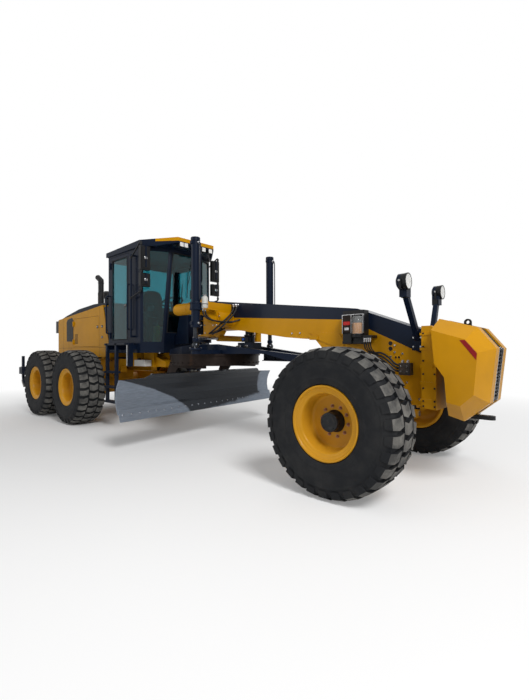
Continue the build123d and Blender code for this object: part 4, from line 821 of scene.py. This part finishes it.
def make_mirrors():
    for side, name in SIDES:
        mirror = Shape(f"mirror_{name}", BLACK, MIRROR, NAVY).on(side)
        y, foot, post = 811, 886, 860
        for z0, z1 in ((2880, 3305), (2590, 2825)):
            mirror.block((2764, 2834), (y - 96, y + 96), (z0, z1))
            mirror.block((2832, 2846), (y - 70, y + 70), (z0 + 30, z1 - 30))
            mirror.lathe((2838, y, (z0 + z1) / 2), AHEAD, [(0, 34), (14, 30), (18, 20)], 1)
            mirror.block((2840, 2856), (y - 12, y + 12), (z0 + 50, z1 + 2), 2)
            mirror.block((2759, 2766), (y - 86, y + 86), (z0 + 12, z1 - 12), 1)
        for z in (3340, 2850, 2540):
            mirror.lathe((2815, foot, z), UP, [(-26, 15), (-22, 22), (22, 22), (26, 15)], 0, 20)
        for z in (1720, 3200):
            mirror.rod((2420, 800, z), (2420, post, z), 18, 2)
        mirror.rod((2420, post, 1700), (2420, post, 3218), 18, 2)
        for z in (2420, 3150):
            mirror.lathe((2420, post, z), UP, [(-24, 24), (24, 24)], 0, 20)
        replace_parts(mirror.done("rear_frame", 0.018), "mirrors")
        path = [(2420, post, 3150), (2600, 868, 3260), (2780, foot, 3372), (2812, foot, 3375),
                (2815, foot, 3350), (2815, foot, 2900), (2815, foot, 2520), (2810, foot, 2498),
                (2780, foot, 2500), (2600, 870, 2460), (2420, post, 2420)]
        hose(f"mirror_frame_{name}", path, 13, BLACK, "rear_frame", side)


# ---- hood and rear ----
STACK, CLEANER = (-30, -250), (-650, 200)      # X and Y of the exhaust and of the air cleaner


def make_side_grille(side, name):
    """Flush panel in the hood's recess, then the grille's frame and slats."""
    grille = Shape(f"side_grille_{name}", BLACK, AMBER).on(side)
    grille.prism([(-1289, 1451), (-1011, 1481), (-1011, 2009), (-1076, 2099), (-1249, 2099)], "xz",
                 (589, 600), 1)
    grille.prism([(-1105, 1700), (-726, 1692), (-716, 2200), (-800, 2268), (-1060, 2236), (-1118, 2170)],
                 "xz", (599, 603))
    for z in range(1722, 2202, 30):
        grille.block((-1094, -738), (602, 607), (z, z + 12))
    grille.done("rear_frame", 0.002)


def make_hood_joints(side, name):
    """Panel joints, latches and bolts on the fixed part of the hood's side."""
    lines = Shape(f"hood_joints_{name}", RUBBER_TRIM, BLACK, CHROME).on(side)
    flush = (598, 600.6)
    for x, low, high in ((-985, 1345, 2325), (-1310, 1345, 2290), (640, 1345, 2430), (-850, 1345, 1545)):
        lines.block((x, x + 6), flush, (low, high))
    lines.block((-1625, 1020), flush, (1536, 1541))
    for z in (1990, 1760):
        lines.block((720, 794), (599, 603), (z - 26, z + 26), 1)
        lines.block((732, 782), (602, 608), (z - 9, z + 9), 2)
    for x, z in ((-1590, 1370), (-1340, 1370), (-1030, 1370), (660, 1370), (940, 1370), (-1590, 2200),
                 (-960, 2290)):
        lines.bolt((x, 600, z), LEFT, 9, 2)
    lines.done("rear_frame", 0.001)


def make_hood_parts():
    for side, name in SIDES:
        make_side_grille(side, name)
        make_hood_joints(side, name)
        door = Shape(f"engine_door_{name}", RUBBER_TRIM, BLACK, CHROME).on(side)
        door.block((500, 580), (599, 604), (1960, 2020), 1)
        door.block((514, 566), (603, 611), (1980, 2000), 2)
        for z in range(1640, 1874, 26):
            door.block((-640, -470), (598, 602), (z, z + 12))
        door.done(f"engine_door_{name}", 0.002)
    rear = Shape("hood_rear", BLACK, AMBER)
    for z in range(1480, 2110, 42):
        rear.block((-1640, -1630), (-460, 460), (z, z + 18))
    rear.block((-1634, -1629), (-490, 490), (1450, 2130))
    rear.done("rear_frame", 0.002)
    top = Shape("hood_top", NAVY_DUSTY, BLACK, CHROME)
    for x, z in ((-500, 2480), (100, 2514), (600, 2511)):
        top.rod((x, -300, z), (x + 110, -300, z + 8), 9, 2)
    top.lathe((*STACK, 2496), UP, [(0, 96), (12, 94), (14, 74), (30, 72)], 1, 32)
    top.bolt_circle((*STACK, 2508), UP, 84, 8, 7, 2)
    top.done("rear_frame", 0.002)


def make_exhaust_parts():
    stack = Shape("exhaust", EXHAUST, BLACK)
    stack.lathe((*STACK, 2500), UP, [(20, 63), (24, 68), (330, 68), (334, 63)], 0, 40, caps=False)
    for z in (2560, 2800, 3060):
        stack.ring((*STACK, z), UP, 67, 5, 1)
    for row in range(8):
        for a in angles(16, math.pi / 16 * (row % 2)):
            out = (math.cos(a), math.sin(a), 0)
            place = (STACK[0] + 67 * out[0], STACK[1] + 67 * out[1], 2570 + row * 30)
            stack.lathe(place, out, [(0, 7), (2, 6)], 1, 8)
    stack.done("rear_frame", 0.001)
    cleaner = Shape("air_cleaner", BLACK, CHROME)
    for z in (2808, 2850, 2900):
        cleaner.ring((*CLEANER, z), UP, 130, 5)
    cleaner.ring((*CLEANER, 2560), UP, 61, 7, 1)
    for a in angles(20):
        x, y = CLEANER[0] + 131 * math.cos(a), CLEANER[1] + 131 * math.sin(a)
        cleaner.rod((x, y, 2815), (x, y, 2895), 4)
    cleaner.done("rear_frame", 0.001)


def make_rear_lamp_parts():
    lamps = Shape("rear_lights", BLACK, RED, ORANGE, LENS)
    for side in (-1, 1):
        lamps.on(side)
        for z, material in ((1955, 1), (2045, 2), (2135, 3)):
            lamps.block((-1796, -1788), (450, 580), (z, z + 72), material)
        lamps.block((-1793, -1786), (440, 590), (1940, 2222))
    lamps.done("rear_frame", 0.003)


def make_ladder_parts():
    """Studs of the treads, the silver pipe and the ribbed deck ahead of the cab door."""
    steps = Shape("ladder_steps", NAVY_DUSTY, CHROME)
    for side in (-1, 1):
        steps.on(side)
        for z in (519, 799, 1079):
            for x in range(1715, 2120, 45):
                steps.lathe((x, 955, z), UP, [(0, 17), (5, 15), (5.2, 9), (0, 8)], 0, 12, caps=False)
        steps.rod((2460, 958, 1190), (2460, 958, 1560), 12, 1)
        steps.block((1640, 2410), (800, 985), (1562, 1598))
        for x in range(1655, 2403, 44):
            steps.block((x, x + 20), (812, 975), (1597, 1603))
    steps.done("rear_frame", 0.003)


def make_tank_and_boxes():
    """Washer tank, boxes under the hood's sides, and the bolts along the rails."""
    tank = Shape("washer_tank", WHITE_PLASTIC, BLACK)
    tank.block((2060, 2440), (-590, -450), (1165, 1285))
    tank.lathe((2120, -520, 1284), UP, [(0, 34), (24, 34), (30, 28)], 1)
    tank.done("rear_frame", 0.018)
    boxes = Shape("frame_steps", AMBER, NAVY_DUSTY)
    for side in (-1, 1):
        boxes.on(side)
        boxes.block((-1560, -1030), (428, 585), (1070, 1300))
        boxes.block((-1540, -1050), (583, 590), (1090, 1280))
        for x in (-1480, -1110):
            boxes.bolt((x, 590, 1260), LEFT, 10, 1)
        for x in (-650, -400, -150, 100, 350, 600, 850, 1150, 1500, 1900, 2300):
            boxes.bolt((x, 430, 1255), LEFT, 12, 1)
    boxes.done("rear_frame", 0.006)


def make_ripper_parts():
    points = Shape("ripper_points", TOOTH, CHROME, BLACK)
    for y in (-1020, -510, 0, 510, 1020):
        points.prism([(-2914, 700), (-2828, 626), (-2762, 566), (-2782, 512), (-2916, 634), (-2949, 700)],
                     "xz", (y - 38, y + 38))
        points.rod((-2925, y - 70, 880), (-2925, y + 70, 880), 14, 1)
        for z in (1000, 930):
            for bolt_y in (y - 44, y + 44):
                points.bolt((-2931, bolt_y, z), BACK, 12, 1)
    points.done("ripper", 0.006)


# ---- lift cylinders and saddle ----
LIFT_X, LIFT_Y = 4286, 847
TUBE_Y, TUBE_Z = 640, 2130                     # the saddle's round arms
FRAME_Y = 170                                  # side face of the front frame
CAN_X, CAN_Y = LIFT_X + 112, -762


def make_barrel_fittings():
    """Gland nuts, head caps, port blocks, ports and bands of the lift barrels."""
    barrels = Shape("lift_barrel_fittings", NAVY, CHROME, BLACK).on(x=LIFT_X)
    for y in (-LIFT_Y, LIFT_Y):
        barrels.lathe((0, y, 1800), UP, [(-2, 60), (0, 74), (46, 74), (50, 67)], 0, 32)
        barrels.lathe((0, y, 3100), UP, [(0, 67), (4, 72), (50, 72), (55.5, 64)], 0, 32)
        barrels.block((-22, 22), (y - 90, y + 90), (3050, 3092))
        barrels.block((-26, 26), (y - 92, y + 92), (1838, 1886))
        for z in (1862, 3071):
            barrels.rod((10, y, z), (92, y, z), 15, 1)
            barrels.lathe((58, y, z), AHEAD, [(0, 22), (24, 22)], 1, 6)
        for z in (2060, 2150):
            barrels.lathe((0, y, z), UP, [(-1, 84), (6, 90), (24, 90), (30, 84)], 0, 40)
    barrels.done("lift_barrels", 0.003)


def make_saddle_fittings():
    """Bolts of the saddle's plates, and bolts, caps and bands of its round arms."""
    saddle = Shape("saddle_fittings", AMBER, CHROME, BLACK, IRON)
    for side in (-1, 1):
        saddle.on(side, LIFT_X)
        saddle.bolt_circle((0, 460, 1950), LEFT, 104, 8, 12, 1, math.pi / 8)
        saddle.bolt_circle((-40, TUBE_Y, TUBE_Z), AHEAD, 108, 8, 11, 1, math.pi / 8)
        saddle.lathe((-726, TUBE_Y, TUBE_Z), BACK, [(-1, 95), (30, 86), (52, 60), (60, 2)], 0, 36)
        saddle.ring((-400, TUBE_Y, TUBE_Z), AHEAD, 96, 5)
        for z in (1840, 2140):
            for x in (-40, 40):
                saddle.bolt((x, 703, z), LEFT, 12, 1)
    saddle.done("front_frame", 0.003)


def make_lift_parts():
    make_barrel_fittings()
    make_saddle_fittings()
    for side, name in SIDES:
        pipe = [(92, 3071), (116, 3060), (118, 2900), (118, 2250), (116, 2190), (84, 2182)]
        path = [(LIFT_X + dx, LIFT_Y, z) for dx, z in pipe]
        hose(f"lift_pipe_{name}", path, 9, NAVY, "lift_barrels", side)
    rods = Shape("lift_rod_ends", NAVY, CHROME, IRON)
    sockets = Shape("lift_sockets", NAVY, CHROME, IRON)
    for y in (-LIFT_Y, LIFT_Y):
        rods.lathe((LIFT_X, y, 1590), UP, [(-6, 44), (0, 48), (46, 48), (52, 37)], 0, 28)
        collar = [(-1, 92), (2, 96), (20, 96), (30, 88), (32, 80)]
        sockets.lathe((LIFT_X, y, 1463), UP, collar, 0, 36, caps=False)
        sockets.bolt_circle((LIFT_X, y, 1486), UP, 82, 4, 12, 1, math.pi / 4)
    rods.done("lift_rods", 0.002)
    sockets.done("drawbar", 0.003)


def make_canister():
    """Accumulator on the saddle with its bracket, and the unions of its hoses."""
    can = Shape("canister", WHITE_PLASTIC, CHROME, BLACK, AMBER)
    x, y = CAN_X, CAN_Y
    can.lathe((x, y, 2080), UP, [(0, 20), (8, 40), (18, 47), (160, 47), (176, 40), (186, 24)], 0, 32)
    can.lathe((x, y, 2264), UP, [(0, 24), (24, 24), (28, 12)], 1, 16)
    can.block((LIFT_X + 86, x + 40), (y - 30, -520), (2070, 2082), 3)
    can.block((LIFT_X + 58, x + 40), (-640, -520), (2066, 2074), 3)
    can.ring((x, y, 2150), UP, 49, 5, 2)
    for dy in (-22, 22):
        can.lathe((x - 16, y + dy, 2082), DOWN, [(0, 17), (16, 17), (18, 13), (40, 13)], 1, 6)
    for foot_x in (LIFT_X + 164, LIFT_X + 230):
        can.lathe((foot_x, -FRAME_Y, 2176), RIGHT,
                  [(0, 24), (18, 24), (20, 16), (46, 16), (48, 20), (58, 20)], 1, 6)
        can.lathe((foot_x, -216, 2180), DOWN, [(0, 17), (30, 17), (32, 12), (52, 12)], 1, 6)
    can.done("front_frame", 0.002)


# ---- front frame and nose ----
FRONT_X, NOSE_BACK, BALL_X, HINGE_X = 6920, 7610, 6250, 3450
FRAME_BOLTS = (
    (3700, 1760), (3700, 2240), (3820, 2240), (5600, 1690), (5740, 1690), (6620, 1120), (6760, 1120),
    (7080, 1080), (7240, 1080), (7380, 900), (7100, 1500), (7100, 1420), (7190, 1405), (7050, 1370))


def make_front_frame_parts():
    plates = Shape("frame_plates", AMBER, CHROME, BLACK, NAVY)
    for side in (-1, 1):
        plates.on(side)
        for x, z in FRAME_BOLTS:
            plates.bolt((x, FRAME_Y, z), LEFT, 13, 1)
        # round access holes
        for x, z, r in ((7045, 1524, 26), (7045, 1461, 26), (7109, 1361, 14), (7147, 1361, 14)):
            plates.lathe((x, FRAME_Y, z), LEFT, [(0.6, r), (1.2, r - 1)], 2, 28)
            plates.ring((x, FRAME_Y, z), LEFT, r + 3, 4, 0, 28)
        # doubler plate at the frame's bend
        plates.prism([(5900, 1700), (6360, 1665), (6440, 1560), (6420, 1460), (6000, 1600)], "xz",
                     (FRAME_Y, FRAME_Y + 9))
    # bolts and grease caps of the articulation hinge
    for z in (1735, 2135):
        for a in (0.4, 1.5, 2.6, 3.7, 4.8, 5.9):
            plates.bolt((HINGE_X + 92 * math.cos(a), 92 * math.sin(a), z), UP, 13, 1)
        plates.lathe((HINGE_X, 0, z), UP, [(0, 52), (12, 50), (16, 30)], 3, 28)
    # bolts of the box between the frame and the nose
    for z in (850, 905, 1040, 1190, 1330, 1480, 1620):
        for side in (-1, 1):
            for x in (7480, 7596):
                plates.on(side).bolt((x, 330, z), LEFT, 11, 2)
    for y in range(-280, 300, 80):
        plates.bolt((7461, y, 1600), BACK, 12, 2)
    plates.done("front_frame", 0.003)


def make_pump():
    """Grease pump: box with two plain plates, a clear reservoir, fittings and lines."""
    x0 = FRONT_X - 440
    pump = Shape("grease_pump", BLACK, CHROME, CLEAR, GREASE, RED, BROWN).on(x=x0)
    pump.block((-6, 296), (-288, -168), (1524, 1560))
    pump.block((12, 122), (-306, -280), (1660, 1872), 5)
    pump.block((20, 112), (-311, -304), (1752, 1796), 4)
    pump.block((36, 98), (-311, -304), (1690, 1724), 1)
    # bright frames of the two windows
    for x in (2, 124, 280):
        pump.block((x, x + 9), (-310, -280), (1650, 1880), 1)
    pump.block((2, 289), (-310, -280), (1872, 1882), 1)
    pump.block((12, 132), (-306, -280), (1530, 1646))
    # foot, grease, clear wall and lid of the reservoir
    for z, profile, material in (
            (1600, [(0, 74), (40, 74), (44, 66)], 0), (1644, [(0, 62), (130, 62)], 3),
            (1642, [(0, 68), (200, 68), (216, 58)], 2), (1856, [(0, 60), (14, 60), (18, 20)], 0)):
        pump.lathe((206, -284, z), UP, profile, material, 32)
    pump.block((280, 400), (-310, -168), (1592, 1622))
    outlets = range(300, 404, 26)
    for x in outlets:
        pump.rod((x, -300, 1540), (x, -300, 1594), 9, 1)
        pump.lathe((x, -300, 1570), UP, [(0, 12), (20, 12)], 1, 6)
    pump.done("front_frame", 0.004)
    for i, x in enumerate(outlets):
        path = [(x, -300, 1542), (x, -300, 1480), (x + 24, -270, 1430), (x + 70, -220, 1405 - 8 * i),
                (x + 104, -174, 1396 - 12 * i)]
        path = [(x0 + x, y, z) for x, y, z in path]
        hose(f"grease_line_{i}", path, 7, HOSE, "front_frame")


def make_valve():
    x0 = FRONT_X + 260
    valve = Shape("steer_valve", IRON, CHROME, BLACK).on(x=x0)
    valve.block((12, 118), (-268, -256), (1180, 1285))
    for z in (1205, 1262):
        for x in (30, 100):
            valve.bolt((x, -268, z), RIGHT, 9, 1)
    for x in (30, 90):
        valve.rod((x, -215, 1300), (x, -215, 1334), 14, 1)
        valve.lathe((x, -215, 1304), UP, [(0, 19), (16, 19)], 1, 6)
    valve.done("front_frame", 0.004)
    for i in range(3):
        z = 1206 + 34 * i
        path = [(x0 - 2, -216, z), (x0 - 50, -220, z), (x0 - 120, -228, z + 60 + 12 * i),
                (x0 - 230, -230, z + 150), (x0 - 340, -216, z + 130), (x0 - 420, -190, z + 20),
                (x0 - 440, -173, z - 60)]
        hose(f"steer_hose_{i}", path, 12, HOSE, "front_frame")


def make_frame_hoses():
    """Hydraulic hoses between the beam, the saddle and the canister."""
    for i in range(2):
        x, y = LIFT_X + 164 + i * 66, CAN_Y + 44 * i
        loop = [(x, -216, 2140), (x + 8, -240, 2060), (x - 6, -400, 1930 - 20 * i),
                (x - 80, -520, 1800 - 30 * i), (x - 190, -540, 1730 - 20 * i), (x - 300, -480, 1720),
                (x - 330, -300, 1760), (x - 330, -172, 1820)]
        hose(f"saddle_loop_{i}", loop, 13, HOSE, "front_frame")
        path = [(CAN_X - 16, y - 22, 2046), (CAN_X - 8, y - 20, 1985), (CAN_X + 10, y + 50 - 4 * i, 1930),
                (CAN_X + 26, -560, 1900), (CAN_X + 60, -340, 1900 - 14 * i), (CAN_X + 120, -230, 1915),
                (CAN_X + 150, -172, 1945)]
        hose(f"canister_hose_{i}", path, 13, HOSE, "front_frame")
    blocks = Shape("hose_clamps", BLACK, CHROME)
    for x, z in ((4700, 1900), (5300, 1850), (5900, 1800)):
        blocks.block((x, x + 50), (165, 232), (z - 40, z + 40))
        for bolt_z in (z - 24, z + 24):
            blocks.bolt((x + 25, 232, bolt_z), LEFT, 9, 1)
    blocks.done("front_frame", 0.004)
    # (x, y, z of the first hose, how far each next one lies below it)
    beam = ((3740, 190, 1890, 34), (4100, 194, 1900, 34), (4725, 200, 1928, 26), (5325, 200, 1876, 26),
            (5925, 200, 1826, 26), (6180, 196, 1740, 40), (6320, 176, 1640, 60), (6380, 174, 1560, 60))
    for i in range(3):
        path = [(x, y, z - drop * i) for x, y, z, drop in beam]
        hose(f"beam_hose_{i}", path, 12, HOSE, "front_frame")


def nose(points):
    return [(NOSE_BACK + dx, z) for dx, z in points]


def make_nose_parts():
    """Reflectors, bright strips beside the grille, and the top strip with its bolts."""
    trim = Shape("nose_trim", AMBER, CHROME, BLACK, REFLECTOR)
    for side in (-1, 1):
        trim.on(side)
        trim.prism(nose([(268, 1536), (318, 1539), (422, 1412), (416, 1344)]), "xz", (479, 483), 3)
        trim.prism(nose([(500, 1480), (534, 1456), (476, 920), (440, 930)]), "xz", (84, 97), 1)
    trim.done("front_frame", 0.002)
    centre = Shape("nose_centre", STRIP, BLACK, CHROME)
    centre.prism(nose([(4, 1764), (362, 1659), (366, 1664), (6, 1770)]), "xz", (-62, 62))
    for y in (-70, 70):
        for x, z in nose([(60, 1746), (180, 1711), (300, 1676)]):
            centre.bolt((x, y, z), (0.28, 0, 1), 9, 2)
    centre.done("front_frame", 0.002)


def make_lamp_parts():
    """Work lamps on the front frame, each with its bracket and indicator."""
    shell = [(0, 30), (8, 60), (26, 84), (96, 86), (112, 88), (124, 88), (126, 80)]
    for side, name in SIDES:
        y = 528
        lamp = Shape(f"work_lamp_{name}", BLACK, LENS, LENS_GLASS, NAVY, CHROME, ORANGE)
        lamp.on(side, FRONT_X + 430)
        lamp.lathe((-66, y, 2160), AHEAD, shell, 0, 40, caps=False)
        lamp.lathe((51, y, 2160), AHEAD, [(0, 2), (0.5, 60), (3, 74), (5, 80)], 1, 40, caps=False)
        lamp.lathe((56, y, 2160), AHEAD, [(0, 80), (3, 60), (5, 30), (5.5, 2)], 2, 40, caps=False)
        lamp.lathe((24, y, 2160), AHEAD, [(0, 12), (20, 12), (26, 6)], 4, 16)
        for arm in (-1, 1):
            lamp.block((-12, 12), (y + arm * 92, y + arm * 100), (2080, 2180))
            lamp.bolt((0, y + arm * 104, 2160), (0, arm, 0), 13, 4)
        lamp.block((-12, 12), (y - 100, y + 100), (2072, 2082))
        lamp.block((-30, 34), (430, 500), (2000, 2062), 5)
        lamp.block((-34, 28), (424, 506), (1994, 2068))
        for z in (1480, 1580):
            for x in (-10, 70):
                lamp.bolt((x, 230, z), LEFT, 13, 4)
        lamp.done("front_frame", 0.003)


# ---- front axle ----
def make_axle_parts():
    axle = Shape("axle_bolts", NAVY, CHROME, BLACK).on(x=FRONT_X)
    axle.lathe((290, 0, 800), AHEAD, [(-1, 78), (10, 78), (14, 60), (28, 58), (32, 40)], 0, 32)
    axle.bolt_circle((301, 0, 800), AHEAD, 68, 6, 10, 1)
    for y in (-770, 770):
        axle.lathe((100, y, 600), AHEAD, [(0, 40), (10, 40), (14, 30)], 1)
    axle.done("front_frame", 0.003)
    for side, name in SIDES:
        yoke = Shape(f"yoke_{name}", NAVY, CHROME, BLACK).on(side, FRONT_X)
        yoke.lathe((0, 905, 930), UP, [(-1, 56), (6, 56), (12, 44), (22, 20)], 0, 28)
        yoke.bolt_circle((0, 905, 934), UP, 46, 4, 8, 1, math.pi / 4)
        yoke.done(f"lean_yoke_{name}", 0.002)


# ---- drawbar, circle and blade ----
CIRCLE_X, BLADE_YAW = 3750, math.radians(6.2)


def turned(x, y, z):
    """Point given with the blade straight across, turned with the circle to where it's parked."""
    dx = x - CIRCLE_X
    c, s = math.cos(BLADE_YAW), math.sin(BLADE_YAW)
    return (CIRCLE_X + dx * c - y * s, dx * s + y * c, z)


def member(x):
    """Inner and outer Y of the drawbar's left member at x."""
    share = (x - 4486) / (6140 - 4486)
    return 340 + (40 - 340) * share, 405 + (120 - 405) * share


def add_left_web(bars):
    """Deep web ahead of the circle with its flanges and ribs; the right member has none."""
    x0, x1 = 4575, 5800
    (in0, out0), (in1, out1) = member(x0), member(x1)
    bars.prism([(x0, out0 - 34), (x1, out1 - 34), (x1, out1 - 18), (x0, out0 - 18)], "xy", (1292, 1404))
    for z in (1280, 1392):
        bars.prism([(x0, in0 - 6), (x1, in1 - 6), (x1, out1 + 10), (x0, out0 + 10)], "xy", (z, z + 14))
    for x in range(4640, 5800, 230):
        inner, outer = member(x)
        bars.prism([(x, inner), (x + 14, inner), (x + 14, outer + 6), (x, outer + 6)], "xy", (1292, 1395))


def make_drawbar_parts():
    bars = Shape("drawbar_flanges", NAVY_DUSTY, CHROME, BLACK, AMBER)
    for side in (-1, 1):
        # flange plates along the side members
        bars.on(side).prism([(LIFT_X - 20, 346), (LIFT_X - 20, 408), (LIFT_X - 236, 412),
                    (CIRCLE_X + 180, 530), (CIRCLE_X + 180, 470), (LIFT_X - 280, 352)],
                   "xy", (1549, 1555))
    for x in (LIFT_X + 40, LIFT_X + 440):
        for y in (-280, -200, 200, 280):
            bars.bolt((x, y, 1440), UP, 13, 1)
    add_left_web(bars)
    # ball cap and its ring of bolts
    bars.lathe((BALL_X - 35, 0, 1250), AHEAD, [(-30, 118), (0, 118), (6, 112)], 0, 36)
    bars.bolt_circle((BALL_X - 30, 0, 1250), AHEAD, 100, 8, 12, 1, math.pi / 8)
    bars.done("drawbar", 0.004)


def make_circle_motor():
    drive = Shape("circle_motor", BLACK, CHROME, BLACK, BLUE)
    x0 = LIFT_X + 290
    drive.on(x=x0)
    drive.lathe((0, 20, 1680), UP, [(-1, 84), (4, 92), (20, 92), (26, 70), (110, 70), (120, 58)], 0, 36)
    drive.bolt_circle((0, 20, 1700), UP, 80, 6, 9, 1)
    drive.block((-50, 50), (-118, -60), (1590, 1668))
    drive.lathe((0, -118, 1630), RIGHT, [(0, 20), (22, 20), (24, 14)], 3, 6)
    ports = (-80, 80)
    for port in ports:
        drive.lathe((port, -119, 1520), RIGHT, [(0, 26), (14, 26), (18, 18), (40, 18)], 1, 6)
    drive.done("drawbar", 0.004)
    for i, port in enumerate(ports):
        path = [(0, -158, 1520), (0, -200, 1520), (60, -240, 1500), (260, -220, 1470), (420, -150, 1440),
                (470, -100, 1420)]
        hose(f"drive_hose_{i}", [(x0 + port + dx, y, z) for dx, y, z in path], 13, HOSE, "drawbar")


def make_circle_parts():
    """Bolts round the circle and on its two arms."""
    ring = Shape("circle_bolts", BROWN, CHROME)
    for a in angles(40, BLADE_YAW):
        out = (math.cos(a), math.sin(a), 0)
        ring.bolt((CIRCLE_X + 767 * out[0], 767 * out[1], 1256), out, 10)
    for side in (-1, 1):
        out = (-side * math.sin(BLADE_YAW), side * math.cos(BLADE_YAW), 0)
        for along, height in ((-300, 1080), (-380, 860), (-440, 720)):
            ring.bolt(turned(CIRCLE_X + along, side * 671, height), out, 15, 1)
    ring.done("circle", 0.002)


def make_blade_parts():
    """Bolts of the cutting edge, and a bright chrome strip on part of the blade's upper edge, a painted
    highlight.
    """
    foot_x = CIRCLE_X - 190 + 450 - 450 * math.cos(math.radians(-28))
    c, s = math.cos(BLADE_YAW), math.sin(BLADE_YAW)
    blade = Shape("blade_bolts", BLADE_EDGE, CHROME, BLADE)
    for i in range(25):
        y = -1780 + 3560 * i / 24
        blade.lathe(turned(foot_x + 25, y, 540), (c, s, 0.25), [(-2, 17), (7, 15), (12, 9), (13, 1)], 0, 12)
        blade.bolt(turned(foot_x - 8, y, 540), (-c, -s, 0), 14)
    blade.done("blade", 0.002)
    # painted highlight: chrome strip where the blade's rounded upper edge catches the light
    strip = Shape("blade_highlight_strip", CHROME)
    corners = [turned(x, y, 0)[:2] for x, y in ((3596, -1262), (3676, -1262), (3676, -560), (3596, -560))]
    strip.prism(corners, "xy", (1092, 1104))
    strip.done("blade", 0.002)


make_camera()
make_stage()
dress_nodes()
make_wheels()
make_cab_parts()
make_screen_parts()
make_seat()
make_controls()
make_mirrors()
make_hood_parts()
make_exhaust_parts()
make_rear_lamp_parts()
make_ladder_parts()
make_tank_and_boxes()
make_ripper_parts()
make_lift_parts()
make_canister()
make_front_frame_parts()
make_pump()
make_valve()
make_frame_hoses()
make_nose_parts()
make_lamp_parts()
make_axle_parts()
make_drawbar_parts()
make_circle_motor()
make_circle_parts()
make_blade_parts()
